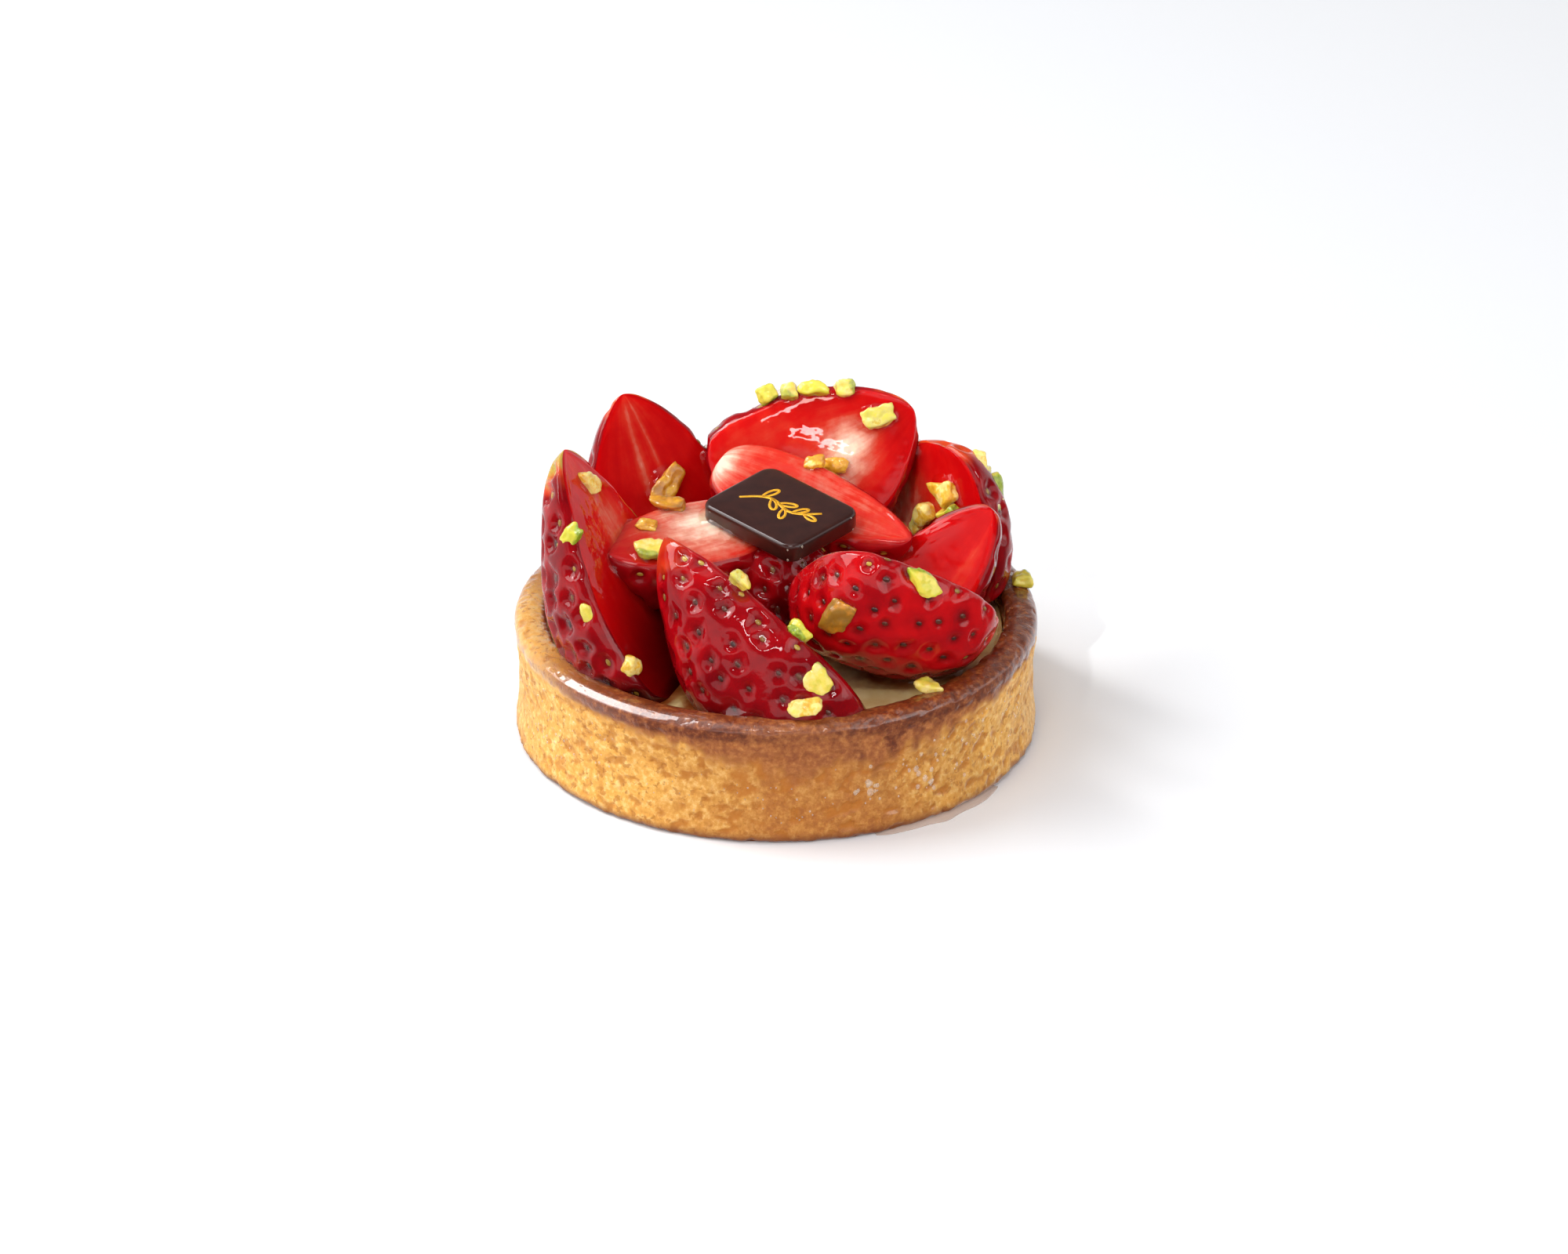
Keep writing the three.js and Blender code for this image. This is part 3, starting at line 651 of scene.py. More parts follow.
def stations(berry, length):
    """Evenly spaced places along a berry from leaf end to tip, with the share of its full width there."""
    shoulder_turn = np.linspace(0.002, math.pi / 2, 300)[:-1]
    point_turn = np.linspace(0, math.pi / 2 - 0.004, 300)
    belly, full = berry["belly"], berry["width"] / 2
    along = np.concatenate(
        [
            belly * (1 - np.cos(shoulder_turn) ** (2 / berry["shoulder"])),
            belly + (1 - belly) * np.sin(point_turn) ** (2 / berry["point"]),
        ]
    )
    share = np.concatenate(
        [np.sin(shoulder_turn) ** (2 / berry["shoulder"]), np.cos(point_turn) ** (2 / berry["point"])]
    )
    steps = np.hypot(np.diff(along) * length, np.diff(share) * full)
    travelled = np.concatenate([[0], np.cumsum(steps)])
    even = np.linspace(0, travelled[-1], int(travelled[-1] / STATION_STEP))
    return np.interp(even, travelled, along), np.interp(even, travelled, share), even


def berry_frame(berry):
    """The berry's length, its leaf end, and its axes as rows: across, out of the cut, towards the tip."""
    hull, tip = np.array(berry["hull"], float), np.array(berry["tip"], float)
    length = np.linalg.norm(tip - hull)
    axis = (tip - hull) / length
    out = np.array(berry["face"], float)
    out -= axis * out.dot(axis)
    out /= np.linalg.norm(out)
    return length, hull, np.array([np.cross(out, axis), out, axis])


def section_angles():
    """Directions round the D: the cut face first, then the skin."""
    face = np.linspace(EDGE_ANGLE, math.pi - EDGE_ANGLE, FACE_COLUMNS, endpoint=False)
    skin = np.linspace(math.pi - EDGE_ANGLE, 2 * math.pi + EDGE_ANGLE, SKIN_COLUMNS, endpoint=False)
    return np.concatenate([face, skin])


def berry_grid(berry):
    """Points of the plain half berry in its own frame, rows along it and columns round the D."""
    length = berry_frame(berry)[0]
    along, share, travelled = stations(berry, length)
    angle = section_angles()
    reach = half_section(angle)[None, :] * share[:, None]
    across = np.cos(angle)[None, :] * reach * berry["width"] / 2
    out = (np.sin(angle)[None, :] * reach - FACE_CORE * share[:, None]) * berry["depth"]
    deep = np.repeat((along * length)[:, None], len(angle), axis=1)
    grid = np.stack([across, out, deep], axis=-1)
    lumps = noise_at(grid.reshape(-1, 3), 9.0, berry["tip"][0]).reshape(across.shape)
    grid[..., :2] *= (1 + BERRY_RELIEF * lumps * np.minimum(share * 3, 1)[:, None])[..., None]
    return grid, along, share, travelled


def grid_normals(grid):
    """Outward normals of a grid that closes on itself round each row."""
    along_step = np.gradient(grid, axis=0)
    round_step = np.roll(grid, -1, axis=1) - np.roll(grid, 1, axis=1)
    normals = np.cross(round_step, along_step)
    return normals / np.maximum(np.linalg.norm(normals, axis=-1, keepdims=True), 1e-9)


def closed_grid(grid, length):
    """A berry's grid as points, with one more point at each end for the fans."""
    return np.vstack([grid.reshape(-1, 3), grid[0].mean(0), [0, 0, length]])


print("grid of the front berry:", berry_grid(STRAWBERRIES["strawberry_front"])[0].shape)

# %% [markdown]
# The seeds of a strawberry sit in dimples, in loose rows that spiral round it about four millimetres
# apart. They decide where the skin dips, so their places come first. A half-step shift on every other
# row gives the quilted look, a seeded draw nudges each one, and no two dimples are the same size. The
# dimples are wide and crooked, because syrup blurs them: each cuts a dark island in the sheen.

# %% Seed places
SEED_GAP_ALONG = 3.8
SEED_GAP_ROUND = 4.3
SEED_NUDGE = 0.9
PIT_RADIUS = (0.95, 1.4)
PIT_DEPTH = 0.48
PIT_EDGE = 2.6  # how steeply a dimple ends
SKIN_RIPPLE = 0.05


def seed_places(grid, travelled, draw):
    """Row, column and dimple radius of each seed on a berry's grid, from its skin side only."""
    places = []
    rows = np.arange(travelled[0] + 1.8, travelled[-1] - 0.5, SEED_GAP_ALONG)
    for count, distance in enumerate(rows):
        row = int(np.argmin(np.abs(travelled - distance)))
        skin = grid[row, FACE_COLUMNS:]
        steps = np.concatenate([[0], np.cumsum(np.linalg.norm(np.diff(skin, axis=0), axis=1))])
        number = max(1, int(steps[-1] / SEED_GAP_ROUND))
        offset = 0.5 if count % 2 else 0.0
        for k in range(number + 1):
            where = (k + offset + draw.uniform(-0.16, 0.16)) * steps[-1] / number
            nudge = int(round(draw.uniform(-SEED_NUDGE, SEED_NUDGE) / STATION_STEP))
            radius = draw.uniform(*PIT_RADIUS)
            if 0.3 < where < steps[-1] - 0.3:
                column = FACE_COLUMNS + int(np.argmin(np.abs(steps - where)))
                places.append((min(max(row + nudge, 1), len(grid) - 2), column, radius))
    return places


def dimple(grid, normals, places, share, quilt):
    """Pushes the skin in round every seed and lets it swell between them."""
    skin = grid[:, FACE_COLUMNS:].reshape(-1, 3)
    wobble = 1 + 0.32 * noise_at(skin, 1.5, 41.0)
    nearest = np.full(len(skin), 1e9)
    for row, column, radius in places:
        nearest = np.minimum(nearest, np.linalg.norm(skin - grid[row, column], axis=1) * wobble / radius)
    pit = np.exp(-(nearest**PIT_EDGE))
    swell = smoothstep(0.7, 1.9, nearest)
    shift = quilt * swell - PIT_DEPTH * pit + SKIN_RIPPLE * noise_at(skin, 2.8, 47.0)
    shift = shift.reshape(grid.shape[0], -1)
    shift *= smoothstep(0.0, 0.2, share)[:, None]
    edge = np.minimum(np.arange(SKIN_COLUMNS), np.arange(SKIN_COLUMNS)[::-1])
    shift *= smoothstep(-2, 4, edge)[None, :]
    dimpled = grid.copy()
    dimpled[:, FACE_COLUMNS:] += normals[:, FACE_COLUMNS:] * shift[..., None]
    return dimpled, pit.reshape(grid.shape[0], -1)


print("seeds stand", SEED_GAP_ALONG, "mm apart along a berry and", SEED_GAP_ROUND, "mm round it")

# %% [markdown]
# Each half berry is now closed: its rows become faces, and a fan closes each end. Two materials meet at
# the cut edge, skin and flesh. Numbers ride on every point for them to read: how far along the berry it
# is, how far across the cut, how many millimetres from the cut's rim, how pale, how wet, how deep in a
# dimple, and how unripe.

# %% Strawberry meshes
FLESH_SLOT, SKIN_SLOT = 0, 1
CUT_SWELL = 0.3  # the cut isn't quite flat: glaze and knife leave it a little uneven
# A fine bead of glaze stands along the cut's edge: how far in from it, how high and how wide.
BEAD_EDGE, BEAD_RISE, BEAD_WIDE = 0.9, 0.16, 0.45


def ridge_rise(face, ends, rise, wide):
    """How much a low ridge of glaze along a line lifts each point of a cut, all in mm."""
    start, stop = np.array(ends[0], float), np.array(ends[1], float)
    way = stop - start
    flat = face[:, [0, 2]] - start
    share = flat @ way / way.dot(way)
    away = np.linalg.norm(flat - share[:, None] * way, axis=1)
    ends_fade = smoothstep(-0.15, 0.3, share) * smoothstep(1.15, 0.7, share)
    combed = 1 + 0.1 * noise_at(np.column_stack([away * 9, share * 5, share * 0]), 4.0, 21.0)
    return rise * combed * ends_fade * np.exp(-((away / wide) ** 2))


def pale_spots(across, along, spots):
    """How pale the cut is at each point, as a sum of soft spots."""
    pale = np.zeros_like(across)
    for at_across, at_along, wide, long, amount in spots:
        pale += amount * np.exp(-(((across - at_across) / wide) ** 2) - ((along - at_along) / long) ** 2)
    return np.clip(pale, 0, 1.2)


def berry_mesh(name, berry, draw):
    """One half berry as a piece, with the places where its seeds go."""
    length, hull, axes = berry_frame(berry)
    grid, along, share, travelled = berry_grid(berry)
    normals = grid_normals(grid)
    places = seed_places(grid, travelled, draw)
    shaped, pit = dimple(grid, normals, places, share, berry["quilt"])
    face = shaped[:, :FACE_COLUMNS].reshape(-1, 3)
    swell = CUT_SWELL * noise_at(face, 13.0, 3.0) + 0.03 * noise_at(face, 3.0, 9.0)
    ridges = sum((ridge_rise(face, *ridge) for ridge in berry["ridges"]), np.zeros(len(face)))
    half_width = share[:, None] * berry["width"] / 2
    angle = section_angles()
    across = (np.cos(angle) * half_section(angle))[None, :] * np.ones((len(grid), 1))
    edge = (1 - np.abs(across)) * half_width
    bead = BEAD_RISE * np.exp(-(((edge[:, :FACE_COLUMNS] - BEAD_EDGE) / BEAD_WIDE) ** 2)).ravel()
    swell += ridges + bead * (1 + 0.7 * noise_at(face, 2.5, 33.0))
    shaped[:, :FACE_COLUMNS, 1] += swell.reshape(len(grid), -1) * np.minimum(share * 2, 1)[:, None]
    rows, columns = grid.shape[:2]
    piece = new_piece(name, closed_grid(shaped, length) @ axes + hull, ring_faces(rows, columns))
    ring_slots = [FLESH_SLOT] * FACE_COLUMNS + [SKIN_SLOT] * SKIN_COLUMNS
    slots = ring_slots * (rows - 1) + [FLESH_SLOT, SKIN_SLOT] * columns
    piece.data.polygons.foreach_set("material_index", slots)
    lengthwise = np.repeat(along[:, None], columns, axis=1)
    pits = np.zeros((rows, columns))
    pits[:, FACE_COLUMNS:] = pit
    wet = np.full((rows, columns), float(berry["wet"]))
    wet[:, :FACE_COLUMNS] += 4 * ridges.reshape(rows, -1)
    patchy = 0.06 * noise_at(grid.reshape(-1, 3), 2.5, 83.0).reshape(rows, columns)
    unripe = berry["green"] * smoothstep(0.86, 0.99, lengthwise + patchy)
    for label, values, ends in (
        ("along", lengthwise, [0, 1]),
        ("across", across, [0, 0]),
        ("edge", edge, [0, 0]),
        ("pale", pale_spots(across, lengthwise, berry["pale"]), [0, 0]),
        ("wet", np.minimum(wet, 1), [berry["wet"]] * 2),
        ("pit", pits, [0, 0]),
        ("unripe", unripe, [0, berry["green"]]),
    ):
        point_values(piece, label, np.append(values.ravel(), ends))
    seeds = [
        (shaped[r, c] @ axes + hull, normals[r, c] @ axes, axes[2], along[r], edge[r, c])
        for r, c, _ in places
    ]
    return piece, seeds


draw = np.random.default_rng(7)
berries, seeds = {}, []
for name, berry in STRAWBERRIES.items():
    berries[name], berry_seeds = berry_mesh(name + "_fruit", berry, draw)
    seeds += berry_seeds
print("berries:", sum(len(b.data.polygons) for b in berries.values()), "faces,", len(seeds), "seeds")

# %% [markdown]
# Low down, where a piece comes close to the others or to the cream, shade falls, and it is painted into
# the colour. One more number says how near the next thing is, and it counts only below the heads of the
# berries. A cut that lies in shade gets the painted shade all over.

# %% Painted shade in crevices
CREVICE_SHADE_REACH = (0.3, 5.0)  # darkest up to the first distance from the next piece, clear past the second
CREVICE_SHADE_HEIGHT = (21.0, 33.0)  # full up to the first height, none past the second


def place_tree(pieces):
    """A search tree of every fifth point of some pieces, in mm."""
    places = np.vstack([places_of(piece)[::5] for piece in pieces])
    search = kdtree.KDTree(len(places))
    for index, place in enumerate(places):
        search.insert(place, index)
    search.balance()
    return search


def painted_crevice_shade(piece, others, share, cut_shade):
    """How much painted shade each point of a piece gets, from 0 to a share: deep in a crevice, and all over
    a cut by its cut_shade.
    """
    places = places_of(piece)
    search = place_tree(others)
    away = np.array([search.find(place)[2] if place[2] < CREVICE_SHADE_HEIGHT[1] else 99 for place in places])
    on_cut = np.arange(len(places)) % (FACE_COLUMNS + SKIN_COLUMNS) < FACE_COLUMNS
    near = np.maximum(smoothstep(*CREVICE_SHADE_REACH[::-1], away), cut_shade * on_cut)
    return share * near * smoothstep(*CREVICE_SHADE_HEIGHT[::-1], places[:, 2])


# The deep number is painted shade, for the skin and the cut to read.
for name, piece in berries.items():
    others = [other for other in berries.values() if other is not piece] + [cream]
    point_values(piece, "deep", painted_crevice_shade(piece, others, *STRAWBERRIES[name]["deep"]))
print("crevices from", CREVICE_SHADE_REACH, "mm")

# %% [markdown]
# Ripe strawberry skin is deep red and lets a little light in, and here it lies under a clear sugar
# glaze. The Principled shader's coat is that glaze: smooth, with the index of syrup. Under it the skin
# has no shine of its own, because its surface is wetted. The dimples are darker: painted shade. The tip,
# which ripens last, is orange to straw yellow.

# %% Strawberry skin
GLAZE_IOR = 1.42
GLAZE = {"Coat Weight": 1.0, "Coat Roughness": 0.03, "Coat IOR": GLAZE_IOR}
CREVICE_SHADE_RED = "#280204"  # painted shade in crevices between the pieces and on cuts that lie in shade
BERRY_GLOW = (1.0, 0.1, 0.06)  # red light goes furthest through a berry


def uneven_coat(tree, place, ripple_mm, height_mm):
    """The normal of a glaze with small swells, which break its highlights into glints."""
    swell = add_node(tree, NOISE, {}, waves(place, ripple_mm, 2))
    return add_node(tree, BUMP, {}, {"Height": swell, "Strength": 1.0, "Distance": height_mm * MM})


def strawberry_skin():
    """Glazed strawberry skin: deep red, with painted shade in dimples and crevices, straw yellow at the tip.
    """
    reads = ("place", "pale", "pit", "unripe", "deep")
    material, tree, shader, place, pale, pit, unripe, deep = new_material("glazed strawberry skin", reads)
    blotch = add_node(tree, NOISE, {}, waves(place, 5.0))
    # Blotches and pale spots set the red. On the front right berry the pale spot is painted light.
    ripe = add_node(tree, MATH, MULTIPLY_ADD, [pale, 0.4, blotch])
    red = add_node(tree, RAMP, {}, [ripe], [(0.35, "#76020A"), (0.65, "#9A060F"), (0.95, "#BE0C12")])
    # Painted shade: the skin is darker in the dimples.
    dimpled = add_node(tree, RANGE, SMOOTH, [pit, 0.3, 1.0, 0.0, 0.6])
    orange = add_node(tree, RANGE, SMOOTH, [unripe, 0.05, 0.55, 0.0, 0.85])
    straw = add_node(tree, RANGE, SMOOTH, [unripe, 0.5, 0.95, 0.0, 0.85])
    # The dimples and the deep number lay painted shade; orange and straw are the unripe tip.
    coats = [(dimpled, "#5E040A"), (orange, "#D2481E"), (straw, "#B9A445"), (deep, CREVICE_SHADE_RED)]
    look = {
        "Base Color": layered(tree, red, coats),
        "Roughness": 0.45,
        "Specular IOR Level": 0.0,
        "Coat Normal": uneven_coat(tree, place, 1.6, 0.06),
    }
    fill(tree, shader, look | lets_light_in(0.25, BERRY_GLOW, 1.8) | GLAZE)
    return material

# %% [markdown]
# The cut flesh is brighter: deep red under the skin, orange-red inside, with pale spots round the core
# and pale veins that leave the core and run outwards and towards the tip. The paleness rides on the
# points, and stretched noise breaks it into soft streaks and fine fibres.

# %% Strawberry flesh
def vein_place(tree, across, along, stretch_across, stretch_along, lean):
    """A place on the cut that is stretched along its veins, which lean outwards."""
    outwards = add_node(tree, MATH, {"operation": "ABSOLUTE"}, [across])
    leaning = add_node(tree, MATH, MULTIPLY_ADD, [outwards, -lean, along])
    wide = add_node(tree, MATH, MULTIPLY, [across, stretch_across])
    long = add_node(tree, MATH, MULTIPLY, [leaning, stretch_along])
    return add_node(tree, "ShaderNodeCombineXYZ", {}, [wide, long])


def strawberry_flesh():
    """Glazed cut strawberry: red rim, pale core, soft veins and fibres, and painted shade in crevices."""
    material, tree, shader, place, pale, across, along, edge, deep, wet = new_material(
        "glazed strawberry flesh", ("place", "pale", "across", "along", "edge", "deep", "wet")
    )
    cloud = add_node(tree, NOISE, {}, waves(place, 5.0, 3, 0.55))
    mottle = add_node(tree, NOISE, {}, waves(place, 1.8, 3, 0.6))
    # The place on the cut is given in shares of the berry, so these two have no size in mm.
    soft = {"Scale": 1.7, "Detail": 3, "Roughness": 0.55, "Distortion": 0.25}
    fine = {"Scale": 1.0, "Detail": 4, "Roughness": 0.7, "Distortion": 0.4}
    soft["Vector"] = vein_place(tree, across, along, 3.2, 1.5, 0.3)
    fine["Vector"] = vein_place(tree, across, along, 14.0, 4.0, 0.5)
    veins, fibres = add_node(tree, NOISE, {}, soft), add_node(tree, NOISE, {}, fine)
    # Veins, clouds, small blotches and fibres move the paleness up and down.
    for pattern, amount in ((veins, 0.5), (cloud, 0.4), (mottle, 0.35), (fibres, 0.16)):
        pale = stirred(tree, pale, pattern, amount)
    reds = [(0.0, "#BC060A"), (0.2, "#C81210"), (0.42, "#CE3222")]
    pinks = [(0.62, "#D26854"), (0.8, "#E2A08A"), (1.0, "#F2D8C2")]
    tone = add_node(tree, RAMP, {}, [pale], reds + pinks)
    rim = add_node(tree, RANGE, SMOOTH, [edge, 1.3, 0.2, 0.0, 0.75])
    look = {
        # Painted shade: the deep number darkens the cut in crevices and where the whole cut lies in shade.
        "Base Color": layered(tree, tone, [(rim, "#97040A"), (deep, CREVICE_SHADE_RED)]),
        "Roughness": 0.4,
        "Specular IOR Level": 0.0,
        "Coat Normal": uneven_coat(tree, place, 3.2, 0.16),
    }
    fill(tree, shader, look | lets_light_in(0.7, BERRY_GLOW, 5.0) | GLAZE | {"Coat Weight": wet})
    return material


skin_material, flesh_material = strawberry_skin(), strawberry_flesh()
for piece in berries.values():
    piece.data.materials.append(flesh_material)
    piece.data.materials.append(skin_material)
print("materials:", flesh_material.name, "and", skin_material.name)

# %% [markdown]
# The cream takes its stain and painted shade once the berries are there: a tree of their points finds the
# nearest one to each point of the cream.

# %% Cream material
STAIN_AND_SHADE_REACH = (0.6, 2.6)  # stained and shaded fully up to the first distance from a berry, clean past the second


def nearest_berry(points):
    """The distance from each point to the nearest berry, in mm."""
    search = place_tree(berries.values())
    return np.array([search.find(point)[2] for point in points])


def set_cream():
    """Pastry cream: pale yellow, a little see-through, moist, and darker near the berries: juice stain and
    painted shade.
    """
    material, tree, shader, place, stain_and_shade = new_material("set pastry cream", ("place", "stain_and_shade"))
    cloud = add_node(tree, NOISE, {}, waves(place, 3.0))
    tone = add_node(tree, RAMP, {}, [cloud], [(0.3, "#E0C078"), (0.7, "#F2DCA0")])
    # Juice stain and painted shade near the berries darken the cream.
    look = {"Base Color": layered(tree, tone, [(stain_and_shade, "#96501E")]), "Roughness": 0.3}
    fill(tree, shader, look | lets_light_in(0.2, (1.0, 0.8, 0.5), 1.5) | GLAZE)
    return material


cream_points = places_of(cream)
stain_and_shade = smoothstep(STAIN_AND_SHADE_REACH[1], STAIN_AND_SHADE_REACH[0], nearest_berry(cream_points))
point_values(cream, "stain_and_shade", np.clip(stain_and_shade + 0.25 * noise_at(cream_points, 2.0, 5.0) * (stain_and_shade > 0.02), 0, 1))
cream.data.materials.append(set_cream())
print("stained share of the cream:", round(float(stain_and_shade.mean()), 2))

# %% [markdown]
# The seeds are one shape set many hundred times, which is what Geometry Nodes do best. The input is a
# cloud of points, each with the way its surface looks, the way its berry runs and its own size. The tree
# puts a small ellipsoid on each point, turns it to both, and makes the copies real. The beads of syrup
# later on come from the same tree.

# %% Seeds
SEED_SIZE = (0.78, 1.2, 0.4)  # width, length and thickness
SEED_SINK = 0.04


def bead_tree(material):
    """The Geometry Nodes tree that sets a small ellipsoid on every point."""
    tree = bpy.data.node_groups.new("set beads on a surface", "GeometryNodeTree")
    tree.interface.new_socket(name="Points", in_out="INPUT", socket_type="NodeSocketGeometry")
    sizes = [
        tree.interface.new_socket(name=label, in_out="INPUT", socket_type="NodeSocketFloat")
        for label in ("Bead width", "Bead length", "Bead thickness")
    ]
    tree.interface.new_socket(name="Beads", in_out="OUTPUT", socket_type="NodeSocketGeometry")
    given = add_node(tree, "NodeGroupInput").outputs
    named, turn = "GeometryNodeInputNamedAttribute", "FunctionNodeAlignRotationToVector"
    facing, running, scale = (
        add_node(tree, named, {"data_type": kind}, {"Name": name}).outputs["Attribute"]
        for name, kind in (("facing", "FLOAT_VECTOR"), ("running", "FLOAT_VECTOR"), ("scale", "FLOAT"))
    )
    upright = add_node(tree, turn, {"axis": "Z"}, {"Vector": facing})
    turned = add_node(tree, turn, {"axis": "Y", "pivot_axis": "Z"}, {"Rotation": upright, "Vector": running})
    bead = add_node(tree, "GeometryNodeMeshUVSphere", {}, {"Segments": 10, "Rings": 6, "Radius": 0.5})
    size = add_node(tree, "ShaderNodeCombineXYZ", {}, [given[socket.name] for socket in sizes])
    scaled = {"Vector": size, "Scale": scale}
    own_size = add_node(tree, "ShaderNodeVectorMath", {"operation": "SCALE"}, scaled)
    set_on = {"Points": given["Points"], "Instance": bead, "Rotation": turned, "Scale": own_size}
    copies = add_node(tree, "GeometryNodeInstanceOnPoints", {}, set_on)
    real = add_node(tree, "GeometryNodeRealizeInstances", {}, {"Geometry": copies})
    smooth = add_node(tree, "GeometryNodeSetShadeSmooth", {}, {"Geometry": real})
    painted = add_node(tree, "GeometryNodeSetMaterial", {}, {"Geometry": smooth, "Material": material})
    add_node(tree, "NodeGroupOutput", {}, {"Beads": painted})
    return tree, sizes


def set_beads(name, places, facing, running, scales, tints, size, material):
    """Runs the tree on the places and keeps the plain mesh."""
    cloud = new_piece(name, places, [], smooth=False)
    for label, ways in (("facing", facing), ("running", running)):
        attribute = cloud.data.attributes.new(label, "FLOAT_VECTOR", "POINT")
        attribute.data.foreach_set("vector", np.array(ways, np.float32).ravel())
    point_values(cloud, "scale", scales)
    point_values(cloud, "tint", tints)
    tree, sockets = bead_tree(material)
    modifier = cloud.modifiers.new("beads", "NODES")
    modifier.node_group = tree
    for socket, value in zip(sockets, size):
        modifier[socket.identifier] = value * MM
    made_plain(cloud)
    return cloud


def strawberry_seed():
    """Strawberry seed under glaze: straw yellow near the tip, brown on the ripe side."""
    material, tree, shader, tint = new_material("glazed strawberry seed", ["tint"])
    stops = [(0.0, "#3A0E0A"), (0.3, "#5C2612"), (0.6, "#9A741E"), (1.0, "#D2AE3E")]
    fill(tree, shader, {"Base Color": add_node(tree, RAMP, {}, [tint], stops), "Roughness": 0.35} | GLAZE)
    return material


unripe = [max(smoothstep(0.74, 1.0, s[3]), 0.6 * smoothstep(1.0, 0.4, s[4])) for s in seeds]
seed_piece = set_beads(
    "strawberry_seeds",
    [s[0] - s[1] * SEED_SINK for s in seeds],
    [s[1] for s in seeds],
    [s[2] for s in seeds],
    [draw.uniform(0.8, 1.15) for s in seeds],
    [min(u * 0.8 + draw.uniform(0.0, 0.3), 1) for u in unripe],
    SEED_SIZE,
    strawberry_seed(),
)
print("seeds:", len(seed_piece.data.polygons), "faces")

# %% [markdown]
# The plaque is a cast tile of dark chocolate with rounded corners and softened edges. It is a stack of
# rounded rectangles, from the middle of its underside round the edges to the middle of its top, which
# swells a little.

# %% Chocolate plaque
PLAQUE = dict(
    length=19.5, width=15.6, thickness=3.2, corner=2.4, edge=0.8, crown=0.1,
    middle=(0.7, -1.9, 36.1), turn=-44.0, lean=6.0,
)


def plaque_placed(points):
    """Points of the plaque's own frame, turned and leant to the front on top of the berries."""
    lean = Matrix.Rotation(math.radians(PLAQUE["lean"]), 3, "X")
    turn = Matrix.Rotation(math.radians(PLAQUE["turn"]), 3, "Z")
    return np.asarray(points) @ np.array(lean @ turn).T + np.array(PLAQUE["middle"])


def rounded_outline(length, width, corner, steps=12):
    """A rounded rectangle as points, anticlockwise."""
    outline = []
    for quarter, (sx, sy) in enumerate([(1, 1), (-1, 1), (-1, -1), (1, -1)]):
        for angle in np.linspace(0, math.pi / 2, steps):
            turn = angle + quarter * math.pi / 2
            outline.append(
                (
                    sx * (length / 2 - corner) + corner * math.cos(turn),
                    sy * (width / 2 - corner) + corner * math.sin(turn),
                )
            )
    return np.array(outline)


def plaque_ring(inset, height):
    """One ring of the plaque: its outline, shrunk by the inset, at a height."""
    corner = max(PLAQUE["corner"] - inset, 0.3)
    line = rounded_outline(PLAQUE["length"] - 2 * inset, PLAQUE["width"] - 2 * inset, corner)
    return np.column_stack([line, np.full(len(line), height)])


def plaque_mesh():
    """The rounded tile as rings from the middle of its underside to the middle of its top."""
    edge, half = PLAQUE["edge"], PLAQUE["thickness"] / 2
    turns = np.linspace(-math.pi / 2, 0, 8)
    profile = [(edge * (1 - math.cos(t)), -half + edge * (1 + math.sin(t))) for t in turns]
    profile += [(edge * (1 - math.cos(t)), half - edge * (1 - math.sin(t))) for t in -turns[::-1]]
    flat = [(4.0, -half), (1.6, -half)] + profile + [(1.6, half + 0.05), (4.0, half + 0.08)]
    rings = [plaque_ring(inset, height) for inset, height in flat]
    points = np.vstack(rings + [[[0, 0, -half], [0, 0, half + PLAQUE["crown"]]]])
    return plaque_placed(points), ring_faces(len(rings), len(rings[0]))


def dark_chocolate():
    """Tempered dark chocolate: near black brown with a soft satin shine."""
    material, tree, shader, place = new_material("tempered dark chocolate", ["place"])
    cloud = add_node(tree, NOISE, {}, waves(place, 2.0, 4))
    tone = add_node(tree, RAMP, {}, [cloud], [(0.3, "#2C130F"), (0.7, "#381A14")])
    shine = {"Roughness": 0.3, "Specular IOR Level": 0.2, "Coat Weight": 0.6, "Coat Roughness": 0.04}
    fill(tree, shader, {"Base Color": tone} | shine)
    return material


points, faces = plaque_mesh()
plaque = new_piece("dark_chocolate_plaque", points, faces)
plaque.data.materials.append(dark_chocolate())
print("plaque:", len(faces), "faces")

# %% [markdown]
# A plain sprig of leaves is printed on the plaque in gold cocoa butter. Its stem is a sine curve from
# corner to corner, and the leaves are outlines that sit on both sides of it and shrink towards its tip.
# Each stroke is a thin raised ribbon, because cocoa butter dries as a film that can be felt.

# %% Gold sprig
SPRIG_REACH = 6.2
SPRIG_BEND = 1.5
SPRIG_SLOPE = 0.42
STROKE_WIDTH = 0.5
STROKE_RISE = 0.07
LEAF_PLACES = [(-0.6, 1), (-0.34, -1), (-0.08, 1), (0.18, -1), (0.44, 1), (0.7, -1)]
LEAF_LENGTH = 3.3
LEAF_TURN = 0.8  # how far a leaf turns away from the stem, in radians
LEAF_WIDTH = 0.2  # half a leaf's width, as a share of its length


def sprig_stem(t):
    """A point of the stem, for t from -1 to 1."""
    x = SPRIG_REACH * t
    return np.array([x, SPRIG_SLOPE * x - SPRIG_BEND * math.sin(math.pi * t)])


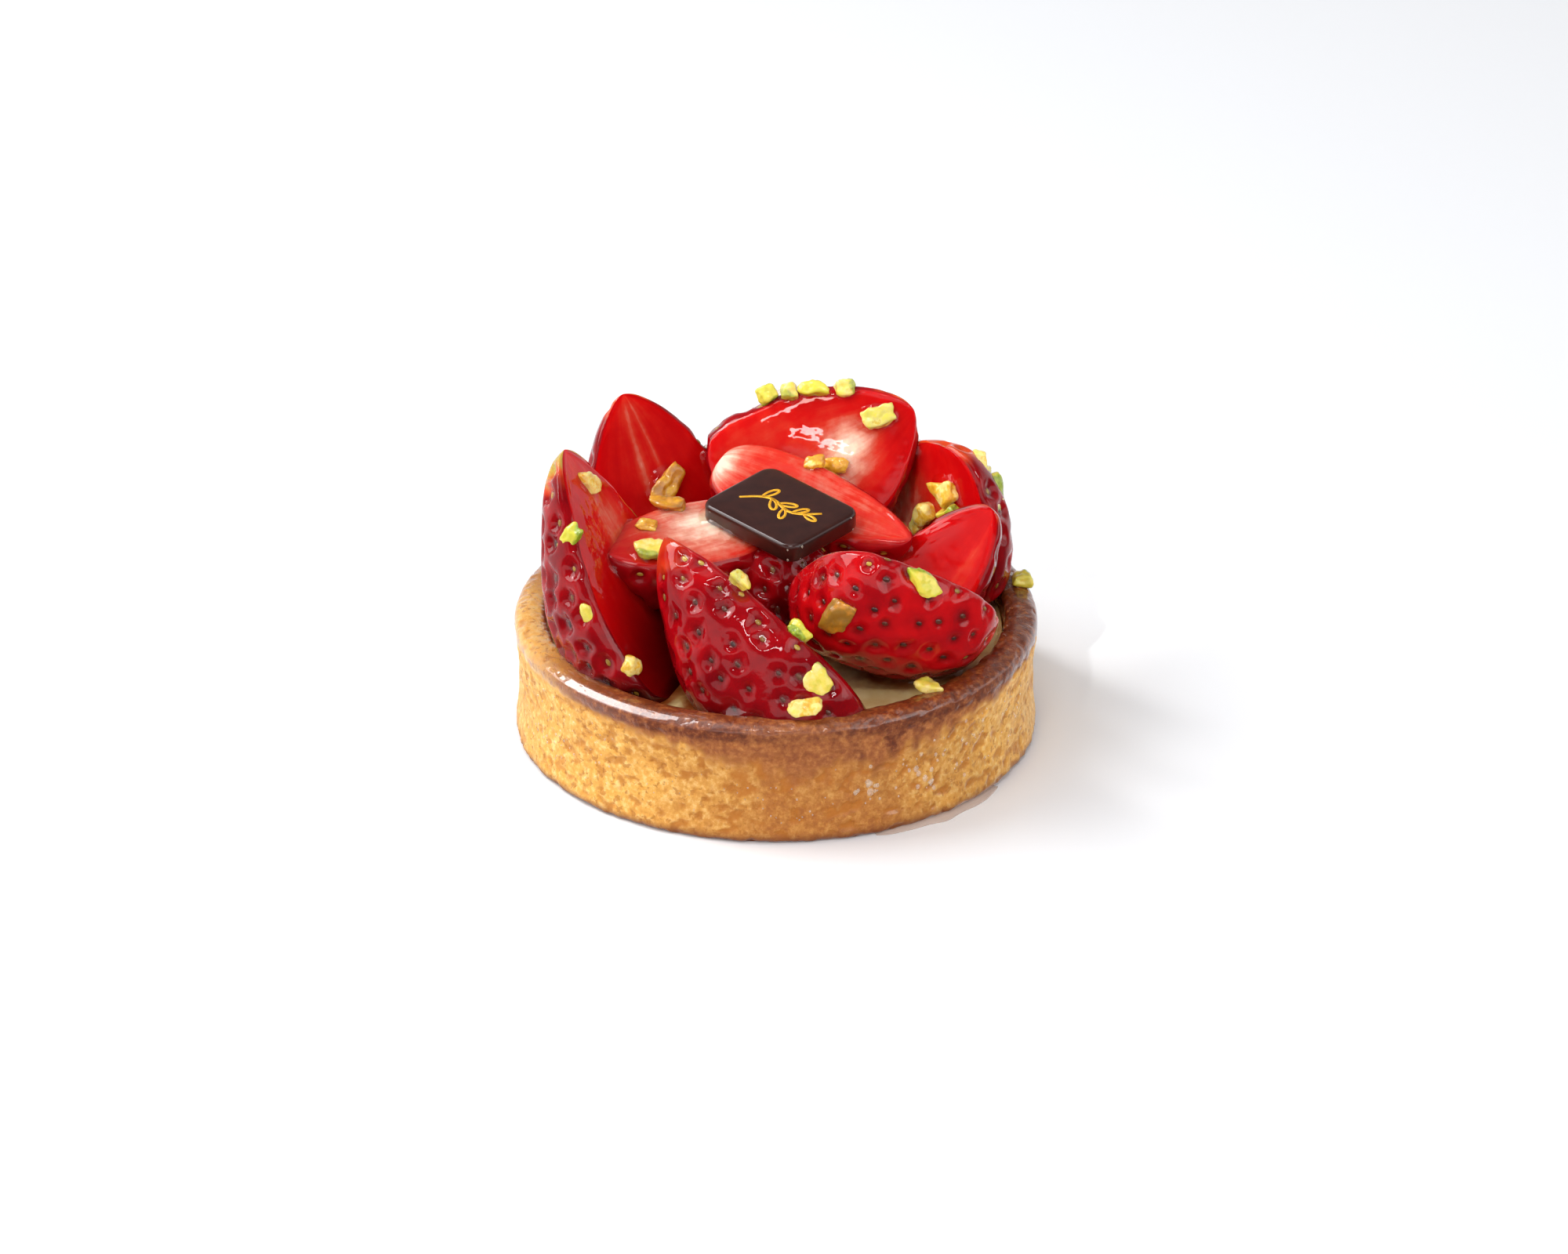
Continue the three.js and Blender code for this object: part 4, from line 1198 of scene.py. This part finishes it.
def leaf_outline(t, side):
    """A pointed leaf that springs from the stem at t, on one side of it."""
    foot = sprig_stem(t)
    along = sprig_stem(t + 0.02) - sprig_stem(t - 0.02)
    heading = math.atan2(along[1], along[0]) + side * LEAF_TURN
    length = LEAF_LENGTH * (1 - 0.28 * (t + 1) / 2)
    steps = np.linspace(0, 2 * math.pi, 29)
    forward = length * (1 - np.cos(steps)) / 2
    aside = LEAF_WIDTH * length * np.sin(steps) * np.sqrt(np.maximum(np.sin(steps / 2), 0))
    cos, sin = math.cos(heading), math.sin(heading)
    return [foot + [f * cos - s * sin, f * sin + s * cos] for f, s in zip(forward, aside)]


def ribbon(line, width):
    """A raised stroke along a line: four points at each step, closed at both ends."""
    line = np.array(line)
    ways = np.gradient(line, axis=0)
    ways /= np.linalg.norm(ways, axis=1, keepdims=True)
    aside = np.column_stack([-ways[:, 1], ways[:, 0]])
    thick = np.linspace(0, 1, len(line))
    swell = width / 2 * (0.75 + 0.35 * np.sin(math.pi * thick))[:, None]
    top = PLAQUE["thickness"] / 2 + PLAQUE["crown"]
    sides = []
    for reach, height in ((1.0, -0.1), (0.75, STROKE_RISE), (-0.75, STROKE_RISE), (-1.0, -0.1)):
        sides.append(np.column_stack([line + aside * swell * reach, np.full(len(line), top + height)]))
    points = np.stack(sides, axis=1).reshape(-1, 3)
    faces = []
    for step in range(len(line) - 1):
        for side in range(4):
            a, b = step * 4 + side, step * 4 + (side + 1) % 4
            faces.append((a, b, b + 4, a + 4))
    last = (len(line) - 1) * 4
    faces += [(3, 2, 1, 0), (last, last + 1, last + 2, last + 3)]
    return points, faces


def joined(lumps):
    """Several (points, faces) lumps as one."""
    points, faces, start = [], [], 0
    for lump_points, lump_faces in lumps:
        points.append(lump_points)
        faces += [tuple(start + i for i in face) for face in lump_faces]
        start += len(lump_points)
    return np.vstack(points), faces


def gold_print():
    """Gold cocoa butter: a warm yellow film with a little shimmer."""
    material, tree, shader, place = new_material("gold cocoa butter", ["place"])
    shimmer = add_node(tree, NOISE, {}, waves(place, 0.6, 2))
    tone = add_node(tree, RAMP, {}, [shimmer], [(0.35, "#D99A12"), (0.65, "#F0B52A")])
    fill(tree, shader, {"Base Color": tone, "Roughness": 0.45, "Metallic": 0.15})
    return material


strokes = [ribbon([sprig_stem(t) for t in np.linspace(-1, 1, 40)], STROKE_WIDTH * 1.2)]
strokes += [ribbon(leaf_outline(t, side), STROKE_WIDTH) for t, side in LEAF_PLACES]
points, faces = joined(strokes)
sprig = new_piece("gold_sprig", plaque_placed(points), faces)
sprig.data.materials.append(gold_print())
print("sprig:", len(faces), "faces")

# %% [markdown]
# Chopped pistachio is broken, not cut: flat faces that meet at blunt corners, a few scooped bites, and
# one side that still has the green skin of the nut. Each bit is a ball of points pulled in to the nearest
# of fourteen crooked planes. The amber ones soaked up syrup.

# %% Pistachio sizes
NUTS = {
    # what they lie on, then of each its middle, length width height, turn from level, greenness
    "strawberry_back": [
        ((-1.1, 23.4, 44.2), (3.4, 3, 3.4), 10, 0.75),
        ((2.1, 23.2, 45), (3.2, 3, 3.4), 0, 0.3),
        ((5.7, 23.2, 45.5), (3.8, 2.6, 3.2), 25, 0.7),
        ((10.7, 22.8, 45.7), (3.8, 2.6, 2.6), 10, 0.35),
        ((15.9, 19.2, 42.5), (6.2, 3.6, 2), 15, 0.15),
        ((9.6, 15.6, 36.1), (3.8, 2.6, 2.2), 0, -0.3),
    ],
    "strawberry_middle_back": [
        ((5.8, 11, 38.5), (3.6, 2.4, 1.6), 5, -0.3),
    ],
    "strawberry_back_left": [
        ((-16.8, 16.3, 32.2), (6.5, 4, 2.2), 50, -0.4),
    ],
    "strawberry_middle_left": [
        ((-16.4, 1.4, 36), (5.4, 3, 2), 0, -0.6),
        ((-18.6, -11.7, 34.4), (5.6, 4, 2.2), 60, 0.35),
        ((-19.5, -4.2, 35.4), (3.8, 2.4, 1.4), 0, -0.2),
    ],
    "strawberry_left": [
        ((-28.2, -5.6, 43.2), (4.6, 2.4, 1.8), -60, 0.05),
        ((-30.8, -15.4, 38.7), (6.2, 3.2, 2), 65, 0.9),
        ((-27.3, -22.1, 27.9), (5.4, 3.2, 2), -75, 0.45),
        ((-21.9, -25.3, 22.3), (3.6, 3.2, 2.6), 0, 0.1),
    ],
    "strawberry_front": [
        ((-5.5, -25.5, 36.6), (4, 3.6, 2.4), 40, 0.2),
        ((2.9, -30.4, 30.3), (4, 3.2, 2), -20, 0.75),
        ((6.3, -34.4, 24.9), (5.2, 4, 1.6), -60, 0.3),
        ((4.3, -36.6, 21.5), (6.2, 2.6, 2.4), 5, 0.05),
    ],
    "strawberry_front_right": [
        ((8.9, -27.1, 31.5), (6.6, 4.6, 2.2), 65, -0.85),
        ((21.9, -25.9, 36.5), (5.6, 3.4, 2), -70, 0.6),
    ],
    "strawberry_right": [
        ((31, 13.3, 38), (3, 2.8, 2.4), 30, 0.25),
        ((31.8, 12.6, 36.4), (3.2, 2.2, 2), 0, 0.3),
        ((33.4, 11.8, 34.6), (4.3, 3.6, 2.6), -60, 0.45),
        ((33.5, 8.5, 32.9), (3.2, 2.4, 2), 10, 0.25),
        ((26.4, 10.7, 33.7), (5.0, 4.2, 2.6), 20, -0.1),
        ((23.2, 13.8, 28.7), (4.6, 3.8, 3.2), 30, 0.0),
        ((27, 9.4, 30.8), (4.6, 2.6, 2.4), 25, 0.45),
        ((22, 14.9, 26), (3, 2.2, 1.8), 40, 0.1),
    ],
    "crust_case": [
        ((22.4, -27.3, 19.8), (4.2, 3.2, 2), 15, 0.2),
        ((37.9, 7.8, 20), (3.8, 3.4, 2.4), 60, 0.5),
    ],
}
NUTS = [(on, *nut) for on, group in NUTS.items() for nut in group]
print("pistachio bits:", len(NUTS))

# %% [markdown]
# Every bit starts as the same ball of even triangles. The planes pull it in, bites are taken out of it,
# and it is turned to the surface that it lies on.

# %% Pistachio meshes
NUT_BALL_LEVEL = 4
BROKEN_CORNERS = 8
BLUNTNESS = 11  # how hard the planes meet
NUT_LIFT = 0.3  # the bits lie on the glaze, not in the fruit
NUT_SHRINK = 0.94  # leaves room for the roughness
COARSE, FINE = (0.32, 1.1), (0.12, 0.5)  # depth and size of the bumps, in mm


def nut_outward(on, at):
    """The way the surface looks under a nut: the cut face, the skin, or straight up on the rim."""
    if on not in STRAWBERRIES:
        return np.array([0, 0, 1.0])
    berry = STRAWBERRIES[on]
    _, hull, axes = berry_frame(berry)
    local = axes @ (np.array(at) - hull)
    if local[1] > -1 and abs(local[0]) < berry["width"] / 2 - 1:
        return axes[1]
    outward = np.array([local[0], local[1], 0])
    return (outward / np.linalg.norm(outward)) @ axes


def unit_ball(level):
    """Points and faces of a ball of even triangles."""
    shape = bmesh.new()
    bmesh.ops.create_icosphere(shape, subdivisions=level, radius=1)
    points = np.array([v.co for v in shape.verts])
    faces = [[v.index for v in f.verts] for f in shape.faces]
    shape.free()
    return points, faces


def random_way(draw):
    """A random direction."""
    way = draw.normal(size=3)
    return way / np.linalg.norm(way)


def broken_bit(ways, draw):
    """How far a broken bit reaches in each direction, in a block that reaches 1 on every side."""
    planes = []
    for axis in range(3):
        for sign in (-1, 1):
            normal = np.eye(3)[axis] * sign + draw.normal(0, 0.2, 3)
            planes.append((normal / np.linalg.norm(normal), draw.uniform(0.85, 1.0)))
    for _ in range(BROKEN_CORNERS):
        planes.append((random_way(draw), draw.uniform(0.9, 1.2)))
    pull = sum((np.maximum(ways @ normal, 0) / distance) ** BLUNTNESS for normal, distance in planes)
    reach = pull ** (-1 / BLUNTNESS)
    for _ in range(2):
        bite, wide = random_way(draw), draw.uniform(0.3, 0.5)
        reach -= draw.uniform(0.12, 0.3) * np.exp(-((np.linalg.norm(ways - bite, axis=1) / wide) ** 2))
    return reach


def nut_mesh(nut, seed, ways):
    """The points of one bit, and how much of the green skin each of them has."""
    on, at, size, turn, _ = nut
    draw = np.random.default_rng(seed)
    outward = nut_outward(on, at)
    long = np.array([math.cos(math.radians(turn)), 0, math.sin(math.radians(turn))])
    long -= outward * long.dot(outward)
    long /= np.linalg.norm(long)
    axes = np.array([long, np.cross(outward, long), outward])
    points = ways * broken_bit(ways, draw)[:, None] * np.array(size) / 2 * NUT_SHRINK
    rough = COARSE[0] * noise_at(points, COARSE[1], seed * 3.1)
    rough += FINE[0] * noise_at(points, FINE[1], seed * 5.3)
    points = points + ways * rough[:, None]
    skin = smoothstep(0.25, 0.45, ways @ random_way(draw) + 0.15 * noise_at(points, 1.2, seed * 7.7))
    return points @ axes + np.array(at) + outward * NUT_LIFT, skin


def pistachio_pieces():
    """All bits as one piece, with each bit's greenness and its skin side on the points."""
    ways, faces = unit_ball(NUT_BALL_LEVEL)
    bits, greens, skins = [], [], []
    for index, nut in enumerate(NUTS):
        points, skin = nut_mesh(nut, index + 1, ways)
        bits.append((points, faces))
        greens += [nut[4]] * len(points)
        skins.append(skin)
    points, faces = joined(bits)
    piece = new_piece("chopped_pistachio", points, faces)
    point_values(piece, "green", greens)
    point_values(piece, "skin_side", np.concatenate(skins))
    return piece


def pistachio():
    """Glazed pistachio: cream flesh, green skin side, amber where syrup soaked in."""
    reads = ("place", "green", "skin_side")
    material, tree, shader, place, green, skin = new_material("glazed pistachio", reads)
    cloud = add_node(tree, NOISE, {}, waves(place, 2.2))
    grain = add_node(tree, NOISE, {}, waves(place, 0.5, 4, 0.6))
    flecked = stirred(tree, stirred(tree, green, cloud, 1.5), grain, 0.7)
    soaked = [(0.0, "#94681A"), (0.12, "#C4801A"), (0.3, "#DC9A1C"), (0.46, "#F0C038")]
    fresh = [(0.58, "#F7DE8A"), (0.78, "#EED452"), (1.0, "#D0C830")]
    flesh = add_node(tree, RAMP, {}, [add_node(tree, RANGE, SMOOTH, [flecked, -1.0, 1.0])], soaked + fresh)
    skin_tone = add_node(tree, RAMP, {}, [grain], [(0.35, "#648212"), (0.65, "#A4BA2E")])
    fresh_skin = add_node(tree, RANGE, SMOOTH, [green, -0.1, 0.5, 0.0, 0.9])
    greened = add_node(tree, MATH, MULTIPLY, [skin, fresh_skin])
    look = {
        "Base Color": layered(tree, flesh, [(greened, skin_tone)]),
        "Roughness": 0.4,
        "Normal": add_node(tree, BUMP, {}, {"Height": grain, "Strength": 0.4, "Distance": 0.08 * MM}),
    }
    fill(tree, shader, look | lets_light_in(0.25, (1.0, 0.7, 0.25), 0.8) | GLAZE | {"Coat Roughness": 0.04})
    return material


nuts = pistachio_pieces()
nuts.data.materials.append(pistachio())
print("pistachio:", len(nuts.data.polygons), "faces")

# %% [markdown]
# The glaze was brushed on hot and ran together: it bridges the gaps between the berries with smooth webs
# and draws up round every nut and under the plaque. To get that, everything it touches is made one lump
# of small cells, and the lump is smoothed hard. Where smoothing moved the surface outwards there was a
# hollow, and the glaze fills it. Everywhere else the film is sunk under the fruit, whose own coat shines.

# %% Glaze webs
GLAZE_CELL = 0.5
GLAZE_FLOOR = 15.0  # just under the cream's surface
GLAZE_SINK = 0.35
GLAZE_RIPPLE = 0.05
MILD_ROUNDS, HARD_ROUNDS = 3, 30
HOLLOW = (0.05, 0.3)  # from no glaze to full glaze, by how far hard smoothing fills


def mesh_arrays(piece):
    """A piece's points in mm and its faces."""
    return places_of(piece), [tuple(p.vertices) for p in piece.data.polygons]


def turned_ring(section, columns):
    """A closed section of (radius, height) turned all the way round."""
    turns = np.linspace(0, 2 * math.pi, columns, endpoint=False)
    points = [(r * math.cos(t), r * math.sin(t), h) for t in turns for r, h in section]
    count, faces = len(section), []
    for column in range(columns):
        start, after = column * count, (column + 1) % columns * count
        for step in range(count):
            nxt = (step + 1) % count
            faces.append((start + step, after + step, after + nxt, start + nxt))
    return np.array(points), faces


def wet_lumps():
    """What the glaze runs over: plain berries, cream, the inside of the rim, plaque and nuts."""
    lumps = [mesh_arrays(plaque), mesh_arrays(nuts), mesh_arrays(cream)]
    inner = CRUST_RADIUS - WALL
    section = [(inner - 1, GLAZE_FLOOR), (inner + 3, GLAZE_FLOOR), (inner + 3, CRUST_HEIGHT - 0.3)]
    section += [(inner + 1.6, CRUST_HEIGHT - 0.3), (inner + 0.5, RIM_INNER + 0.3), (inner, RIM_INNER - 1)]
    lumps.append(turned_ring(section, 160))
    for berry in STRAWBERRIES.values():
        length, hull, axes = berry_frame(berry)
        grid = berry_grid(berry)[0][::2, ::2]
        lumps.append((closed_grid(grid, length) @ axes + hull, ring_faces(*grid.shape[:2])))
    points, faces = joined(lumps)
    points[:, 2] = np.maximum(points[:, 2], GLAZE_FLOOR)
    return points, faces


def relaxed(points, edges, rounds):
    """Every point moved halfway to the middle of its neighbours, again and again."""
    first, second = edges.T
    number = np.bincount(edges.ravel(), minlength=len(points))
    for _ in range(rounds):
        total = [
            sum(np.bincount(a, points[b, axis], len(points)) for a, b in ((first, second), (second, first)))
            for axis in range(3)
        ]
        points = (points + np.array(total).T / number[:, None]) / 2
    return points


def outward_normals(points, quads):
    """The normal at each point of a mesh of four-sided faces."""
    normals = np.cross(points[quads[:, 2]] - points[quads[:, 0]], points[quads[:, 3]] - points[quads[:, 1]])
    total = np.stack(
        [
            sum(np.bincount(quads[:, corner], normals[:, axis], len(points)) for corner in range(4))
            for axis in range(3)
        ],
        axis=1,
    )
    return total / np.maximum(np.linalg.norm(total, axis=1, keepdims=True), 1e-12)


def glaze_webs():
    """The lump, remeshed in small cells, with its hollows bridged and the rest sunk."""
    points, faces = wet_lumps()
    piece = new_piece("sugar_glaze", points, faces)
    remesh = piece.modifiers.new("one skin", "REMESH")
    remesh.mode = "VOXEL"
    remesh.voxel_size = GLAZE_CELL * MM
    remesh.use_smooth_shade = True
    plain = made_plain(piece)
    points, quads = mesh_arrays(piece)
    quads = np.array(quads)
    edges = np.array([e.vertices for e in plain.edges])
    mild = relaxed(points, edges, MILD_ROUNDS)
    hard = relaxed(mild, edges, HARD_ROUNDS)
    normals = outward_normals(mild, quads)
    bridged = smoothstep(*HOLLOW, ((hard - mild) * normals).sum(1))[:, None]
    ripple = GLAZE_RIPPLE * noise_at(hard, 2.0, 61.0)[:, None]
    film = (hard + normals * ripple) * bridged + (mild - normals * GLAZE_SINK) * (1 - bridged)
    plain.vertices.foreach_set("co", (film * MM).astype(np.float32).ravel())
    plain.update()
    return piece


def sugar_glaze():
    """Clear sugar glaze: it only reflects, more at the edges, and lets the rest through."""
    material, tree, shader = new_material("clear sugar glaze")
    clear = add_node(tree, "ShaderNodeBsdfTransparent", {}, {"Color": "#FFF6F0"})
    shine = add_node(tree, "ShaderNodeBsdfGlossy", {}, {"Roughness": 0.02})
    facing = add_node(tree, "ShaderNodeLayerWeight", {}, {"Blend": 0.5}).outputs["Facing"]
    head_on = ((GLAZE_IOR - 1) / (GLAZE_IOR + 1)) ** 2
    steep = add_node(tree, MATH, {"operation": "POWER"}, [facing, 5.0])
    edge = add_node(tree, MATH, MULTIPLY_ADD, [steep, 1 - head_on, head_on])
    surface = add_node(tree, "ShaderNodeMixShader", {}, [edge, clear, shine])
    fill(tree, tree.nodes["Material Output"], {"Surface": surface})
    tree.nodes.remove(shader)
    return material


glaze = glaze_webs()
glaze.data.materials.clear()
glaze.data.materials.append(sugar_glaze())
print("glaze:", len(glaze.data.polygons), "faces")

# %% [markdown]
# Syrup that ran over stands on the wall as beads, fine ones on the left and coarser ones where it dripped
# on the right, and a few more hang on the plaque's edge. Each bead is a small ellipsoid on a point of the
# surface under it. Their whitish colour is a painted glint.

# %% Beads of syrup
WALL_BEADS = [
    # directions round the case in degrees, heights, sizes in mm, and number
    ((-176, -128), (4.0, 15.5), (0.25, 0.5), 70),
    ((-120, -75), (3.0, 12.0), (0.2, 0.4), 30),
    ((-72, -18), (5.0, 14.5), (0.3, 0.7), 60),
    ((-73, -66), (7.0, 9.0), (0.6, 1.3), 8),
    ((-62, -52), (6.0, 9.5), (0.6, 1.2), 10),
]
PLAQUE_BEADS = 12
PLAQUE_BEAD_SIZES = (0.2, 0.45)
PLAQUE_BEAD_GAP = 1.5
BEAD_SIZE = (1.0, 1.2, 0.55)  # width, length and thickness


def wall_places(draw):
    """Points of the wall for the beads, with the way the wall looks there and each bead's size."""
    places = places_of(crust)
    ways = np.array([v.normal for v in crust.data.vertices])
    turns = np.degrees(np.arctan2(places[:, 1], places[:, 0]))
    outside = np.hypot(places[:, 0], places[:, 1]) > CRUST_RADIUS - 1.5
    chosen, sizes = [], []
    for (start, stop), (low, high), (small, large), number in WALL_BEADS:
        there = outside & (turns > start) & (turns < stop) & (places[:, 2] > low) & (places[:, 2] < high)
        chosen += list(draw.choice(np.flatnonzero(there), number, replace=False))
        sizes += list(small + (large - small) * draw.uniform(0, 1, number) ** 2)
    return places[chosen], ways[chosen], sizes


def plaque_places(draw):
    """Points on the rounded lower front edges of the plaque."""
    places = places_of(plaque)
    ways = np.array([v.normal for v in plaque.data.vertices])
    there = (ways[:, 1] < -0.35) & (ways[:, 2] < 0.5) & (ways[:, 2] > -0.5)
    chosen = []
    for index in draw.permutation(np.flatnonzero(there)):
        apart = [np.linalg.norm(places[index] - places[other]) > PLAQUE_BEAD_GAP for other in chosen]
        if all(apart) and len(chosen) < PLAQUE_BEADS:
            chosen.append(index)
    return places[chosen], ways[chosen], list(draw.uniform(*PLAQUE_BEAD_SIZES, len(chosen)))


def glinting_bead():
    """A bead of syrup, whose whitish colour is a painted glint. It lets most of the light through."""
    material, tree, shader = new_material("syrup bead with painted glint")
    # The whitish base colour is a painted glint.
    fill(tree, shader, {"Base Color": "#FFF2DC", "Roughness": 0.1, "Alpha": 0.3} | GLAZE)
    return material


on_wall, on_plaque = wall_places(draw), plaque_places(draw)
bead_places, bead_ways = np.vstack([on_wall[0], on_plaque[0]]), np.vstack([on_wall[1], on_plaque[1]])
beads = set_beads(
    "syrup_beads", bead_places, bead_ways, [(0.0, 0.0, 1.0)] * len(bead_places), on_wall[2] + on_plaque[2],
    [0.0] * len(bead_places), BEAD_SIZE, glinting_bead(),
)
print("beads of syrup:", len(bead_places))

# %% [markdown]
# The puddle is an arc of closed sections along the foot, thin enough to let the table show through.

# %% Puddle at the foot
PUDDLE_TURNS = (-68, -33)
PUDDLE_REACH = 1.3
PUDDLE_DEPTH = 0.4
PUDDLE_TUCK = 1.2  # how far it reaches in under the rounded foot


def puddle_mesh():
    """A flat lens of syrup along the foot: an arc of closed sections that taper at both ends."""
    turns = np.radians(np.linspace(*PUDDLE_TURNS, 90))
    section = np.linspace(0, math.pi, 12)
    points = []
    for step, turn in enumerate(turns):
        taper = math.sin(math.pi * (step + 0.5) / len(turns)) ** 0.6
        way = np.array([math.cos(turn), math.sin(turn), 0])
        reach = PUDDLE_REACH * taper * (1 + 0.45 * noise.noise(Vector(way * 9)))
        for angle in section:
            out = CRUST_RADIUS - PUDDLE_TUCK + (PUDDLE_TUCK + reach) * (1 - math.cos(angle)) / 2
            height = 0.02 + PUDDLE_DEPTH * taper * math.sin(angle) ** 0.7
            points.append(way * out + np.array([0, 0, height]))
    count, faces = len(section), []
    for step in range(len(turns) - 1):
        for side in range(count):
            a, b = step * count + side, step * count + (side + 1) % count
            faces.append((a, a + count, b + count, b))
    last = (len(turns) - 1) * count
    faces += [tuple(range(count)), tuple(last + side for side in range(count))[::-1]]
    return np.array(points), faces


def red_syrup():
    """Thin red syrup: what is under it shows through, warmer."""
    material, tree, shader = new_material("thin red syrup")
    fill(tree, shader, {"Base Color": "#F4DAC8", "Roughness": 0.05, "Alpha": 0.4, "IOR": GLAZE_IOR})
    return material


puddle = new_piece("syrup_puddle", *puddle_mesh())
puddle.data.materials.append(red_syrup())
print("puddle:", len(puddle.data.polygons), "faces")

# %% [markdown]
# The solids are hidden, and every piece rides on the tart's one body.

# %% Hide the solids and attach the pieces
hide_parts("crust_case")
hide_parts("cream_filling")
for name, piece in berries.items():
    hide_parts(name)
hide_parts("chocolate_plaque")
for piece in [crust, cream, *berries.values(), seed_piece, plaque, sprig, nuts, glaze, beads, puddle]:
    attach(piece, "root")
